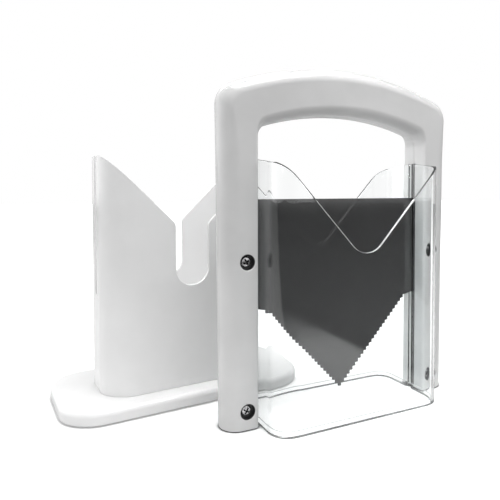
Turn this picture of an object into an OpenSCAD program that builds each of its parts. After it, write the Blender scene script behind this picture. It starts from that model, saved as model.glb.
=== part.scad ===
// Bagel slicer with a guillotine blade
//
// Two units. The base is a plate with a hollow cradle that holds a bagel on
// its edge. The blade unit is an arched frame with a V-shaped blade and two
// clear shields. It is lowered over the cradle, and the blade runs down the
// slits in the cradle's ends. Here the blade unit stands beside the base.
//
// Millimetres. X is the width, +Y the back, +Z up. The origin is on the table
// under the middle of the two units together, or of the base if the blade unit
// is lowered over it.

/* [View] */
// Piece to draw, or all of them
// Where the blade unit is: standing beside the base, or lowered over it
arrangement = "beside"; // [beside, lowered]
// Middle of the blade unit to the right of the base's middle, beside the base
beside_x = 88.6; // [60:0.1:120]
// Room between the base plate and the back shield, beside the base
beside_gap = 12.3; // [9:0.1:60]
// Clockwise turn of the blade unit seen from above, beside the base, degrees
beside_turn = 4; // [0:0.5:6]

/* [Base plate] */
// Width of the plate
plate_w = 187; // [186:1:200]
// Depth of the plate, front to back
plate_d = 93; // [90:0.5:98]
// Height of the plate's moulding, without the feet
plate_h = 8.7; // [8:0.1:11]
// Radius of the plate's corners in plan
plate_corner_r = 27; // [18:1:30]
// Rounding of the plate's top edge
plate_edge_r = 3.4; // [2:0.2:4]
// Thickness of the plate's top, rim and ribs
plate_skin = 2.6; // [2:0.2:3]
// Spacing of the ribs under the plate
plate_rib_pitch = 23.5; // [18:0.5:27]

/* [Feet] */
// Radius of a foot
foot_r = 6.5; // [5:0.5:8]
// Thickness of a foot
foot_h = 2.4; // [2:0.1:3]
// How far a foot stands out below the plate
foot_out = 0.8; // [0.5:0.1:1.2]
// Middle of a foot from the plate's outline, both ways
foot_inset = 19; // [17:0.5:21]

/* [Cradle] */
// Width of the cradle, over its ends
cradle_w = 128; // [126:0.5:130]
// Depth of the cradle, front to back
cradle_d = 60; // [56:1:62]
// Height of the cradle's peaks above the plate
cradle_h = 172.5; // [168:0.5:176]
// Radius of the cradle's upright corners in plan
cradle_corner_r = 22; // [12:1:22]
// Thickness of the cradle's walls and of its rest
cradle_wall = 2.6; // [2.2:0.1:3]
// Slope of the cradle's notch, degrees from level
cradle_slope = 44.5; // [43:0.5:48]
// Rounding of the cradle's peaks
cradle_peak_r = 3; // [2:1:20]
// Rounding where a slope turns down into the finger slot
cradle_lip_r = 6; // [3:0.5:8]
// Width of the finger slot in the front and back walls
finger_slot_w = 25.6; // [20:0.2:28]
// Height of the finger slot's round bottom above the plate
finger_slot_floor = 75.8; // [70:0.2:80]
// Width of the slit for the blade
slit_w = 5; // [4.6:0.1:5.4]
// Height of the slit's bottom above the plate
slit_floor = 68.8; // [66:0.2:70]

/* [Rest inside the cradle] */
// Height above the plate at which the rest's two slopes would meet
rest_apex = 19.8; // [19:0.2:22]
// Rounding of the bottom of the rest
rest_bottom_r = 30; // [20:1:36]

/* [Fit between the units] */
// Room between the cradle's ends and the shields
nest_gap_x = 2; // [1.2:0.1:3]
// Room between the cradle's front and back and the shields
nest_gap_y = 3.4; // [2.4:0.2:6]
// Room between the shields and the uprights
shield_side_gap = 2; // [1:0.2:4]

/* [Frame] */
// Width of an upright at its foot
upright_w = 23.4; // [22:0.2:26]
// How much wider an upright is at the shoulder
upright_draft = 1.6; // [0:0.2:3]
// Height of the handle over the middle of the window
handle_t = 33; // [30:0.5:38]
// Height of the straight uprights above the shields' top
window_room = 2.6; // [2:0.2:10]
// Height of the point that the arch is drawn about
arch_centre_h = 2.2; // [0:0.2:10]
// Depth of the frame, front to back
frame_d = 24.4; // [22:0.2:27]
// Radius of the frame's shoulders
shoulder_r = 14; // [10:1:20]
// Radius of the window's upper corners
window_corner_r = 10; // [8:0.5:14]
// Rounding of the outer side of the uprights, across the width
upright_round = 12; // [8:0.5:13]
// Rounding of the inner edge of the uprights
upright_edge_r = 2.2; // [1:0.1:3]
// Rounding of the top of the handle, up the height
handle_top_round = 9.8; // [7:0.2:11]
// Rounding of the underside of the handle, up the height
handle_grip_round = 7; // [4:0.5:9]
// Rounding of the underside of the handle, front to back
handle_grip_depth = 8.4; // [5:0.2:10]
// Thickness of the frame's walls
frame_wall = 2.4; // [2:0.1:2.8]
// Height of the locating pins above the window's arch
handle_pin_rise = 16.5; // [14:0.5:19]
// Radius of a locating pin in the handle
handle_pin_r = 1.7; // [1.4:0.1:2]
// Distance of the outer locating pins from the middle
handle_pin_x = 46; // [30:1:52]

/* [Blade] */
// Thickness of the blade
blade_t = 1.2; // [0.8:0.1:1.4]
// Height of the blade's straight top edge
blade_top = 150.4; // [146:0.2:156]
// Height of the blade's lower corners at the uprights
blade_corner = 77.1; // [75:0.1:79]
// Distance from an upright to the knee where the teeth start
blade_knee_inset = 9; // [6:0.5:12]
// Height of the knee
blade_knee = 75; // [72:0.2:76]
// Height of the blade's tip
blade_tip = 11; // [10.8:0.1:14]
// Number of teeth on each side of the tip
teeth = 24; // [16:1:32]
// Depth of a tooth
tooth_depth = 1.5; // [0.5:0.1:2]
// Distance that the blade reaches into each upright
blade_grip = 13.5; // [12:0.5:15]

/* [Shields] */
// Thickness of a shield's wall
shield_wall = 2; // [1.6:0.1:2.4]
// Radius of a shield's upright corners in plan
shield_corner_r = 14; // [8:1:16]
// Height of a shield at the frame
shield_h = 177; // [172:0.5:180]
// How far the top of a shield's side walls falls away from the frame
shield_side_fall = 3.8; // [2:0.1:5]
// Height of the bottom of a shield's notch
notch_floor = 114.3; // [110:0.5:120]
// Slope of a shield's notch, degrees from level
notch_slope = 47; // [45:0.5:50]
// Rounding of the bottom of the notch
notch_floor_r = 15.7; // [10:0.5:20]
// Rounding of the top of the notch's slopes
notch_shoulder_r = 50; // [40:1:60]
// Height above the frame's end of a shield at which that rounding would level out
notch_shoulder_rise = 3.7; // [2.5:0.1:5]
// Height of the thicker rim round a shield's bottom edge
rim_h = 3.4; // [2:0.2:5]
// How much thicker the rim is
rim_t = 1; // [0.6:0.1:1.4]
// Thickness of the flange that is clamped in the frame
flange_t = 1.6; // [1.2:0.1:2]
// Distance that the flange reaches into each upright
flange_grip = 13.5; // [12:0.5:15]

/* [Frame screws] */
// Distance from an upright's inner side to its screws
screw_inset = 8; // [6.5:0.5:9]
// Height of the upper screws
screw_upper = 109.8; // [100:0.2:120]
// Height of the lower screws
screw_lower = 12; // [11:0.5:14]
// Radius of a screw's head
screw_head_r = 3.75; // [3.4:0.05:4]
// Height of a screw's head
screw_head_h = 2.4; // [2:0.1:2.8]
// Radius of a screw's shank
screw_shank_r = 1.5; // [1.3:0.1:1.7]
// Length of a screw below its head
screw_length = 14; // [12:0.5:15]
// Radius of the sunk hole over a frame screw's head
sunk_r = 5.2; // [4.8:0.1:5.4]
// Depth of the sunk hole
sunk_depth = 4.6; // [4:0.1:5]
// Bevel round the mouth of the sunk hole
sunk_bevel = 0.5; // [0.2:0.1:0.7]
// Width of the cross in a screw's head
cross_w = 1.1; // [0.8:0.1:1.3]
// Reach of the cross from the head's middle
cross_reach = 2.3; // [1.8:0.1:2.6]
// Depth of the cross
cross_depth = 1.5; // [1:0.1:1.8]

/* [Base screws] */
// Middle of a base screw from the cradle's outside, both ways
base_screw_inset = 11.5; // [10:0.5:13]
// Length of a base screw below its head
base_screw_length = 12; // [10:0.5:14]
// Height of the cradle's screw posts
post_h = 20; // [16:1:24]
// Radius of the cradle's screw posts
post_r = 4; // [3.6:0.1:4.4]

/* [Clearances] */
// Clearance all round between a screw and a hole it passes through
screw_clear = 0.25; // [0.15:0.05:0.4]
// Clearance all round between a screw's thread and the post it grips
thread_clear = 0.02; // [0:0.01:0.05]
// Clearance all round a locating pin in its socket
pin_clear = 0.15; // [0.1:0.05:0.3]
// Clearance between the top of the flanges and the end of their slot
slot_clear = 0.4; // [0.2:0.1:1]
// Clearance between a foot and the side of its recess
foot_clear = 0.1; // [0:0.05:0.3]
// How far a cutting shape reaches past a face
past = 1; // [0.5:0.1:2]

/* [Fineness] */
// Flats round a quarter of a large corner
fine_corner = 12; // [8:1:24]
// Steps along the handle's arch
fine_arch = 22; // [14:2:40]
// Sides of a full circle
fine_circle = 48; // [32:8:96]

/* [Hidden] */
// Names of the four corners of the base, with their sides across and front to back
corners = [["front_left", -1, -1], ["front_right", 1, -1], ["back_left", -1, 1], ["back_right", 1, 1]];
// Names of the four frame screws, with their side and height
frame_screws = [
    ["upper_left", -1, screw_upper], ["upper_right", 1, screw_upper],
    ["lower_left", -1, screw_lower], ["lower_right", 1, screw_lower]
];
// Height of the plate's top above the table
plate_top = foot_out + plate_h;
// Half of the clamped stack: a flange and half the blade
stack_half = flange_t + blade_t / 2;
half_d = frame_d / 2;
steps_circle = fine_circle;
// The shields go round the cradle, and the uprights stand beside the shields
shield_w = cradle_w + 2 * (nest_gap_x + shield_wall);
shield_reach = cradle_d / 2 + nest_gap_y + shield_wall;
gap_w = shield_w + 2 * shield_side_gap;
gap_half = gap_w / 2;
frame_foot_w = gap_w + 2 * upright_w;
frame_w = frame_foot_w + 2 * upright_draft;
screw_x = gap_half + screw_inset;
blade_knee_x = gap_half - blade_knee_inset;
base_screw_x = cradle_w / 2 - base_screw_inset;
base_screw_y = cradle_d / 2 - base_screw_inset;
// Height above the plate at which the two slopes of the cradle's notch would meet
cradle_slope_apex = cradle_h - cradle_w / 2 * tan(cradle_slope);
// The window's corners start above the shields, and the arch runs through them
upright_h = shield_h + window_room;
window_side_h = upright_h + window_corner_r;
window_rise = window_side_h - arch_centre_h;
// Radii of the arch about its centre, to the window and to the top
arch_in_r = window_corner_r + norm([window_rise, gap_half - window_corner_r]);
arch_out_r = arch_in_r + handle_t;
shoulder_rise = sqrt(pow(arch_out_r - shoulder_r, 2) - pow(frame_w / 2 - shoulder_r, 2));
shoulder_h = arch_centre_h + shoulder_rise;
// Directions in which the corners run into the arch
shoulder_dir = atan2(shoulder_rise, -(frame_w / 2 - shoulder_r));
window_dir = atan2(window_rise, -(gap_half - window_corner_r));
corner_steps = 7;
ellipse_steps = 6;
// Middle of the blade unit in front of the base's middle, beside the base
beside_y = plate_d / 2 + shield_reach + beside_gap;
// Reach of the turned blade unit from its middle, sideways and to the front
unit_reach_x = (frame_w / 2 - upright_round) * cos(beside_turn)
    + norm([upright_round * cos(beside_turn), half_d * sin(beside_turn)]);
unit_reach_y = (shield_w / 2 - shield_corner_r) * sin(beside_turn)
    + (shield_reach - shield_corner_r) * cos(beside_turn) + shield_corner_r;
// Middle of the two units together, seen from the base's middle
set_x = (max(plate_w / 2, beside_x + unit_reach_x) - max(plate_w / 2, unit_reach_x - beside_x)) / 2;
set_y = (plate_d / 2 - beside_y - unit_reach_y) / 2;
knee_slope = (blade_knee - blade_tip) / blade_knee_x;
blade_slope = atan(knee_slope);
// Outline of a pan head, as shares of its radius and height
head_shares = [[1, 0], [1, 0.3], [0.94, 0.62], [0.8, 0.82], [0.5, 0.96], [0, 1]];
// Radius of a screw's tip as a share of the shank's
tip_share = 0.4;

white = [0.93, 0.93, 0.93];
steel = [0.72, 0.73, 0.75];
dark_steel = [0.23, 0.23, 0.24];
clear = [0.86, 0.92, 0.95, 0.35];
grey_rubber = [0.36, 0.37, 0.38];

// Shapes that several pieces use

// Closed solid through a list of rings that have the same number of points
module skin(rings) {
    n = len(rings[0]);
    last = len(rings) - 1;
    sides = [
        for (k = [0 : last - 1]) for (i = [0 : n - 1])
            [k * n + i, k * n + (i + 1) % n, (k + 1) * n + (i + 1) % n, (k + 1) * n + i]
    ];
    start_cap = [for (i = [n - 1 : -1 : 0]) i];
    end_cap = [for (i = [0 : n - 1]) last * n + i];
    points = [for (r = rings) for (p = r) p];
    polyhedron(points = points, faces = concat(sides, [start_cap, end_cap]), convexity = 8);
}

// Closed half shell through two lists of rings, the outside and the hollow, whose
// rings start and end on the parting plane. The hollow's first and last rings stand
// a wall further in, and give the shell its floors.
module half_skin(outer, inner) {
    n = len(outer[0]);
    last = len(outer) - 1;
    // first point of the hollow's rings
    m = n * (last + 1);
    sides = [
        for (k = [0 : last - 1]) for (i = [0 : n - 2])
            let (a = k * n + i, b = a + n)
            each [[a, a + 1, b + 1, b], [m + a, m + b, m + b + 1, m + a + 1]]
    ];
    parting = [
        for (k = [0 : last - 1])
            let (a = k * n, b = a + n, c = a + n - 1, d = b + n - 1)
            each [[a, b, m + b, m + a], [c, m + c, m + d, d]]
    ];
    start = [for (i = [0 : n - 1]) i];
    end = [for (i = [0 : n - 1]) last * n + i];
    floors = [
        [for (i = [n - 1 : -1 : 0]) start[i]],
        end,
        [for (i = start) m + i],
        [for (i = [n - 1 : -1 : 0]) m + end[i]],
        [start[0], m + start[0], m + start[n - 1], start[n - 1]],
        [end[n - 1], m + end[n - 1], m + end[0], end[0]]
    ];
    points = concat([for (r = outer) for (p = r) p], [for (r = inner) for (p = r) p]);
    polyhedron(points = points, faces = concat(sides, parting, floors), convexity = 8);
}

// Points of a rounded rectangle, clockwise seen from above
function round_rect(w, d, r, n) = [
    for (q = [0 : 3]) for (i = [0 : n])
        let (
            a = -90 * q - 90 * i / n,
            sx = (q == 0 || q == 3) ? 1 : -1,
            sy = (q == 0 || q == 1) ? -1 : 1
        )
        [sx * (w / 2 - r) + r * cos(a), sy * (d / 2 - r) + r * sin(a)]
];

module plan(w, d, r) {
    polygon(round_rect(w, d, r, fine_corner));
}

// Half of a V notch seen from the front, from its middle out to the top.
// The slope can run into a straight-sided slot, or into a rounded bottom.
function shoulder_arc(top, r, slope, apex, n) =
    let (cz = top - r, cx = (cz - apex + r / cos(slope)) / tan(slope))
    [for (i = [0 : n]) let (a = 90 + slope * (1 - i / n)) [cx + r * cos(a), cz + r * sin(a)]];
function floor_arc(r, slope, apex, n) =
    [for (i = [0 : n]) let (a = -90 + slope * i / n) [r * cos(a), apex + r / cos(slope) + r * sin(a)]];

// Notch outline closed far above, from half an outline
function both_sides(half, high) = concat(
    [[half[len(half) - 1][0], high]],
    [for (i = [len(half) - 1 : -1 : 0]) half[i]],
    [for (p = half) [-p[0], p[1]]],
    [[-half[len(half) - 1][0], high]]
);

// Upright slab of an outline drawn in X and Z, centred front to back
module slab(points, depth) {
    rotate([90, 0, 0])
        translate([0, 0, -depth / 2])
            linear_extrude(height = depth, convexity = 6)
                polygon(points);
}

// Round bar lying front to back, from one depth to another
module bar_y(r, from, to) {
    translate([0, to, 0])
        rotate([90, 0, 0])
            cylinder(r = r, h = to - from, $fn = steps_circle);
}

// Pan-head screw standing on its head's seat, the shank pointing down
module screw(length) {
    tip_r = screw_shank_r * tip_share;
    head = [for (k = head_shares) [screw_head_r * k[0], screw_head_h * k[1]]];
    difference() {
        rotate_extrude($fn = steps_circle)
            polygon(concat(
                [[0, -length], [tip_r, -length]],
                [[screw_shank_r, screw_shank_r - length], [screw_shank_r, 0]],
                head
            ));
        for (turn = [0, 90])
            rotate(turn)
                translate([-cross_reach, -cross_w / 2, screw_head_h - cross_depth])
                    cube([2 * cross_reach, cross_w, cross_depth + past]);
    }
}

// Base

// Middle of a foot and of a base screw, seen from above, at a corner of the base
function foot_place(c) = [c[1] * (plate_w / 2 - foot_inset), c[2] * (plate_d / 2 - foot_inset)];
function base_screw_place(c) = [c[1] * base_screw_x, c[2] * base_screw_y];

// Puts a piece of the base where the chosen arrangement has it
module in_base() {
    if (arrangement == "beside")
        translate([-set_x, -set_y, 0])
            children();
    else
        children();
}

module base_plate() {
    rows = [for (i = [0 : 4]) let (a = 90 * i / 4) [plate_edge_r * (1 - cos(a)), plate_edge_r * sin(a)]];
    rings = concat(
        [[for (p = round_rect(plate_w, plate_d, plate_corner_r, fine_corner)) [p[0], p[1], foot_out]]],
        [for (s = rows)
            let (w = plate_w - 2 * s[0], d = plate_d - 2 * s[0], r = plate_corner_r - s[0])
            [for (p = round_rect(w, d, r, fine_corner)) [p[0], p[1], plate_top - plate_edge_r + s[1]]]]
    );
    pocket_h = plate_h - plate_skin;
    rim = plate_skin + plate_edge_r / 2;
    collar_r = screw_head_r + screw_clear + plate_skin;
    shank_hole_r = screw_shank_r + screw_clear;
    in_base()
        color(white)
            difference() {
                skin(rings);
                difference() {
                    translate([0, 0, foot_out - past])
                        linear_extrude(height = pocket_h + past)
                            plan(plate_w - 2 * rim, plate_d - 2 * rim, plate_corner_r - rim);
                    for (x = [0 : plate_rib_pitch : plate_w / 2]) for (s = [-1, 1])
                        translate([s * x - plate_skin / 2, -plate_d / 2, foot_out - 2 * past])
                            cube([plate_skin, plate_d, plate_h]);
                    for (y = [-base_screw_y, 0, base_screw_y])
                        translate([-plate_w / 2, y - plate_skin / 2, foot_out - 2 * past])
                            cube([plate_w, plate_skin, plate_h]);
                    for (c = corners) {
                        translate(concat(foot_place(c), foot_out - 2 * past))
                            cylinder(r = foot_r + plate_skin, h = plate_h, $fn = steps_circle);
                        translate(concat(base_screw_place(c), foot_out - 2 * past))
                            cylinder(r = collar_r, h = plate_h, $fn = steps_circle);
                    }
                }
                for (c = corners) {
                    translate(concat(foot_place(c), foot_out - past))
                        cylinder(r = foot_r + foot_clear, h = foot_h - foot_out + past, $fn = steps_circle);
                    translate(concat(base_screw_place(c), foot_out - past)) {
                        cylinder(r = screw_head_r + screw_clear, h = pocket_h + past, $fn = steps_circle);
                        cylinder(r = shank_hole_r, h = plate_h + 2 * past, $fn = steps_circle);
                    }
                }
            }
}

module cradle() {
    slot_half = finger_slot_w / 2;
    lip_centre_x = slot_half + cradle_lip_r;
    lip_centre_h = cradle_slope_apex + lip_centre_x * tan(cradle_slope) - cradle_lip_r / cos(cradle_slope);
    slot_side = [
        for (i = [0 : fine_corner])
            let (a = -90 + 90 * i / fine_corner)
            [slot_half * cos(a), finger_slot_floor + slot_half + slot_half * sin(a)]
    ];
    lip = [
        for (i = [0 : fine_corner])
            let (a = 180 - (90 - cradle_slope) * i / fine_corner)
            [lip_centre_x + cradle_lip_r * cos(a), lip_centre_h + cradle_lip_r * sin(a)]
    ];
    peak = shoulder_arc(cradle_h, cradle_peak_r, cradle_slope, cradle_slope_apex, fine_corner);
    thread_r = screw_shank_r + thread_clear;
    inner_w = cradle_w - 2 * cradle_wall;
    inner_d = cradle_d - 2 * cradle_wall;
    // the rest follows the blade's V, above the blade's lowest place
    rest_top = floor_arc(rest_bottom_r, blade_slope, rest_apex, fine_corner);
    rest_drop = cradle_wall / cos(blade_slope);
    edge_x = cradle_w / 2 - cradle_wall / 2;
    edge_r = cradle_corner_r - cradle_wall / 2;
    edge_h = rest_apex + edge_x * knee_slope;
    rest_half = concat(rest_top, [[edge_x, edge_h]]);
    under_half = concat(
        floor_arc(rest_bottom_r + cradle_wall, blade_slope, rest_apex - rest_drop, fine_corner),
        [[edge_x, edge_h - rest_drop]]
    );
    rest_outline = concat(
        [for (i = [len(rest_half) - 1 : -1 : 0]) rest_half[i]],
        [for (i = [1 : len(rest_half) - 1]) [-rest_half[i][0], rest_half[i][1]]],
        [for (i = [len(under_half) - 1 : -1 : 0]) [-under_half[i][0], under_half[i][1]]],
        [for (i = [1 : len(under_half) - 1]) under_half[i]]
    );
    in_base()
        color(white)
            translate([0, 0, plate_top])
                difference() {
                    union() {
                        difference() {
                            linear_extrude(height = cradle_h, convexity = 6)
                                plan(cradle_w, cradle_d, cradle_corner_r);
                            translate([0, 0, -past])
                                linear_extrude(height = cradle_h + 2 * past, convexity = 6)
                                    plan(inner_w, inner_d, cradle_corner_r - cradle_wall);
                        }
                        intersection() {
                            union() {
                                slab(rest_outline, cradle_d);
                                for (x = [-base_screw_x, base_screw_x])
                                    post_web([x, 0], [cradle_wall, cradle_d - cradle_wall], 2 * base_screw_y);
                                for (y = [-base_screw_y, base_screw_y])
                                    post_web([0, y], [cradle_w - cradle_wall, cradle_wall], 2 * base_screw_x);
                            }
                            translate([0, 0, -past])
                                linear_extrude(height = cradle_h)
                                    plan(2 * edge_x, cradle_d - cradle_wall, edge_r);
                        }
                        for (c = corners)
                            translate(concat(base_screw_place(c), 0))
                                cylinder(r = post_r, h = post_h, $fn = steps_circle);
                    }
                    slab(both_sides(concat(slot_side, lip, peak), cradle_h + past), cradle_d + 2 * past);
                    translate([-cradle_w / 2 - past, -slit_w / 2, slit_floor + slit_w / 2])
                        cube([cradle_w + 2 * past, slit_w, cradle_h]);
                    translate([-cradle_w / 2 - past, 0, slit_floor + slit_w / 2])
                        rotate([0, 90, 0])
                            cylinder(r = slit_w / 2, h = cradle_w + 2 * past, $fn = steps_circle);
                    translate([-inner_w / 2, -slit_w / 2, -past])
                        cube([inner_w, slit_w, cradle_h]);
                    for (c = corners)
                        translate(concat(base_screw_place(c), -past))
                            cylinder(r = thread_r, h = base_screw_length + past, $fn = steps_circle);
                }
}

// Two webs in line that tie a pair of screw posts to the walls on either side
module post_web(at, size, apart) {
    across = size[0] > size[1];
    gap = across ? [apart, 2 * cradle_wall] : [2 * cradle_wall, apart];
    difference() {
        translate(concat(at - size / 2, 0))
            cube(concat(size, post_h));
        translate(concat(at - gap / 2, -past))
            cube(concat(gap, post_h + 2 * past));
    }
}

module base_screw(c) {
    in_base()
        color(steel)
            translate(concat(base_screw_place(c), plate_top - plate_skin))
                rotate([180, 0, 0])
                    screw(base_screw_length);
}

module foot(c) {
    in_base()
        color(grey_rubber)
            translate(concat(foot_place(c), 0))
                cylinder(r = foot_r, h = foot_h, $fn = steps_circle);
}

// Blade unit

// Puts a piece of the blade unit where the chosen arrangement has it
module in_blade_unit() {
    if (arrangement == "beside")
        translate([beside_x - set_x, -beside_y - set_y, 0])
            rotate([0, 0, -beside_turn])
                children();
    else
        translate([0, 0, plate_top])
            children();
}

// Outline of half the frame's section: along it from the window outwards, and
// forwards from the parting plane. Shrinking it by a wall gives the hollow.
function section(len_s, edge_s, edge_y, round_s, depth, shrink) = concat(
    [[shrink, 0]],
    [for (i = [0 : ellipse_steps])
        let (
            a = 90 * i / ellipse_steps,
            es = max(edge_s - shrink, shrink / 4),
            ey = max(edge_y - shrink, shrink / 4)
        )
        [shrink + es * (1 - cos(a)), -(depth - shrink - ey) - ey * sin(a)]],
    [for (i = [0 : ellipse_steps])
        let (a = 90 - 90 * i / ellipse_steps, rs = round_s - shrink, ry = depth - shrink)
        [len_s - shrink - rs * (1 - cos(a)), -ry * sin(a)]]
);

// Stations along the frame, left foot to right foot: inner point, outer point,
// and how far the section has turned from an upright's into the handle's
function left_stations() = concat(
    [[[-gap_half, 0], [-frame_foot_w / 2, 0], 0]],
    [[[-gap_half, upright_h],
      [-(frame_foot_w / 2 + (frame_w - frame_foot_w) / 2 * upright_h / shoulder_h), upright_h], 0]],
    [for (i = [0 : corner_steps])
        let (
            f = i / corner_steps,
            ai = 180 + (window_dir - 180) * f,
            ao = 180 + (shoulder_dir - 180) * f
        )
        [[window_corner_r * (1 + cos(ai)) - gap_half, window_side_h + window_corner_r * sin(ai)],
         [shoulder_r * (1 + cos(ao)) - frame_w / 2, shoulder_h + shoulder_r * sin(ao)],
         f]],
    [for (i = [1 : fine_arch / 2])
        let (
            f = i / (fine_arch / 2),
            ai = window_dir + (90 - window_dir) * f,
            ao = shoulder_dir + (90 - shoulder_dir) * f
        )
        [[arch_in_r * cos(ai), arch_centre_h + arch_in_r * sin(ai)],
         [arch_out_r * cos(ao), arch_centre_h + arch_out_r * sin(ao)],
         1]]
);

function other_side(st) = [[-st[0][0], st[0][1]], [-st[1][0], st[1][1]], st[2]];
function stations() = let (left = left_stations(), n = len(left)) concat(
    left,
    [for (i = [n - 2 : -1 : 0]) other_side(left[i])]
);

function frame_ring(st, shrink) =
    let (
        d = st[1] - st[0],
        l = norm(d),
        e = d / l,
        k = st[2],
        edge_s = upright_edge_r + (handle_grip_round - upright_edge_r) * k,
        edge_y = upright_edge_r + (handle_grip_depth - upright_edge_r) * k,
        round_s = upright_round + (handle_top_round - upright_round) * k,
        outline = section(l, edge_s, edge_y, round_s, half_d, shrink)
    )
    [for (p = outline) [st[0][0] + e[0] * p[0], p[1], st[0][1] + e[1] * p[0]]];

// Station lifted to a height, so that the hollow has a floor
function raised(st, h) = [[st[0][0], h], [st[1][0], h], st[2]];

// Front half's shell, in the blade unit's own place. The back half is its mirror.
module half_shell() {
    all = stations();
    hollow = [
        for (i = [0 : len(all) - 1])
            (i == 0 || i == len(all) - 1) ? raised(all[i], frame_wall) : all[i]
    ];
    half_skin([for (st = all) frame_ring(st, 0)], [for (st = hollow) frame_ring(st, frame_wall)]);
}

// Places in the handle where the halves locate on each other
function pin_places() = [
    for (x = [-handle_pin_x, 0, handle_pin_x])
        [x, arch_centre_h + sqrt(pow(arch_in_r + handle_pin_rise, 2) - x * x)]
];

module slots(side) {
    grip = max(flange_grip, blade_grip);
    for (s = [-1, 1])
        translate([s * gap_half - (s > 0 ? past : grip), side < 0 ? -stack_half : -past, -past])
            cube([grip + past, stack_half + past, shield_h + slot_clear + past]);
}

module frame_front() {
    bevel_h = sunk_bevel + past;
    bevel_r = sunk_r + bevel_h;
    in_blade_unit()
        color(white)
            difference() {
                union() {
                    difference() {
                        half_shell();
                        slots(-1);
                    }
                    for (s = frame_screws)
                        translate([s[1] * screw_x, 0, s[2]])
                            bar_y(sunk_r + frame_wall / 2, frame_wall / 2 - half_d, -stack_half);
                    for (p = pin_places())
                        translate([p[0], 0, p[1]]) {
                            bar_y(handle_pin_r + frame_wall, frame_wall / 2 - half_d, -pin_clear);
                            bar_y(handle_pin_r, -past, half_d / 2);
                        }
                }
                for (s = frame_screws)
                    translate([s[1] * screw_x, 0, s[2]]) {
                        bar_y(screw_shank_r + screw_clear, -half_d - past, past);
                        bar_y(sunk_r, -half_d - past, sunk_depth - half_d);
                        translate([0, sunk_bevel - half_d, 0])
                            rotate([90, 0, 0])
                                cylinder(r1 = sunk_r, r2 = bevel_r, h = bevel_h, $fn = steps_circle);
                    }
            }
}

module frame_back() {
    in_blade_unit()
        color(white)
            difference() {
                union() {
                    difference() {
                        mirror([0, 1, 0])
                            half_shell();
                        slots(1);
                    }
                    for (s = frame_screws)
                        translate([s[1] * screw_x, 0, s[2]])
                            bar_y(screw_shank_r + frame_wall, stack_half, half_d - frame_wall / 2);
                    for (p = pin_places())
                        translate([p[0], 0, p[1]])
                            bar_y(handle_pin_r + frame_wall, pin_clear, half_d - frame_wall / 2);
                }
                for (s = frame_screws)
                    translate([s[1] * screw_x, 0, s[2]])
                        bar_y(screw_shank_r + thread_clear, -past, half_d - frame_wall);
                for (p = pin_places())
                    translate([p[0], 0, p[1]])
                        bar_y(handle_pin_r + pin_clear, -past, half_d / 2 + pin_clear + past);
            }
}

// Blade's outline: one side's teeth from the tip up to the knee
function tooth_points(side) =
    let (
        run = norm([blade_knee_x, blade_knee - blade_tip]),
        e = [cos(blade_slope), sin(blade_slope)],
        up = [-sin(blade_slope), cos(blade_slope)],
        pitch = run / (teeth + 0.5)
    )
    [
        for (i = [0 : teeth - 1]) for (j = [0 : 2])
            let (
                s = pitch * (i + 0.5 + j / 3),
                rise = j == 0 ? 0 : tooth_depth,
                p = [0, blade_tip] + e * s + up * rise
            )
            [side * p[0], p[1]]
    ];

module blade() {
    reach = gap_half + blade_grip;
    right = tooth_points(1);
    left = tooth_points(-1);
    outline = concat(
        right,
        [[blade_knee_x, blade_knee], [gap_half, blade_corner], [reach, blade_corner], [reach, blade_top]],
        [[-reach, blade_top], [-reach, blade_corner]],
        [[-gap_half, blade_corner], [-blade_knee_x, blade_knee]],
        [for (i = [len(left) - 1 : -1 : 0]) left[i]]
    );
    in_blade_unit()
        color(dark_steel)
            difference() {
                slab(outline, blade_t);
                for (s = [-1, 1])
                    translate([s * screw_x, 0, screw_upper])
                        bar_y(screw_shank_r + screw_clear, -past, past);
            }
}

module shield() {
    side_x = shield_w / 2;
    notch_apex = notch_floor + notch_floor_r - notch_floor_r / cos(notch_slope);
    notch_level = shield_h + notch_shoulder_rise;
    notch = concat(
        floor_arc(notch_floor_r, notch_slope, notch_apex, fine_corner),
        shoulder_arc(notch_level, notch_shoulder_r, notch_slope, notch_apex, fine_corner)
    );
    reach = gap_half + flange_grip;
    inner_w = shield_w - 2 * shield_wall;
    inner_d = 2 * (shield_reach - shield_wall);
    cut_reach = shield_reach + past;
    fall_share = shield_side_fall / (shield_reach - stack_half);
    inner_r = shield_corner_r - shield_wall;
    difference() {
        union() {
            difference() {
                linear_extrude(height = shield_h, convexity = 6)
                    plan(shield_w, 2 * shield_reach, shield_corner_r);
                translate([0, 0, rim_h])
                    linear_extrude(height = shield_h, convexity = 6)
                        plan(inner_w, inner_d, inner_r);
                translate([0, 0, -past])
                    linear_extrude(height = rim_h + 2 * past, convexity = 6)
                        plan(inner_w - 2 * rim_t, inner_d - 2 * rim_t, inner_r - rim_t);
            }
            for (s = [-1, 1])
                translate([s > 0 ? side_x - shield_wall : -reach, -stack_half, 0])
                    cube([reach - side_x + shield_wall, flange_t, shield_h]);
        }
        translate([-reach - past, -blade_t / 2, -past])
            cube([2 * (reach + past), shield_reach + past + blade_t / 2, shield_h + 2 * past]);
        // the notch stops at the inner faces of the side walls, whose tops fall from the frame to meet it
        intersection() {
            slab(both_sides(notch, notch_level + past), 2 * cut_reach);
            translate([-inner_w / 2, -cut_reach, 0])
                cube([inner_w, 2 * cut_reach, notch_level]);
        }
        translate([-side_x - past, 0, shield_h])
            rotate([90, 0, 90])
                linear_extrude(height = shield_w + 2 * past)
                    polygon([
                        [-stack_half, 0],
                        [-stack_half, past],
                        [-cut_reach, past],
                        [-cut_reach, -fall_share * (cut_reach - stack_half)]
                    ]);
        for (s = frame_screws)
            translate([s[1] * screw_x, 0, s[2]])
                bar_y(screw_shank_r + screw_clear, -half_d, past);
    }
}

module shield_front() {
    in_blade_unit()
        color(clear)
            shield();
}

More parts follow.
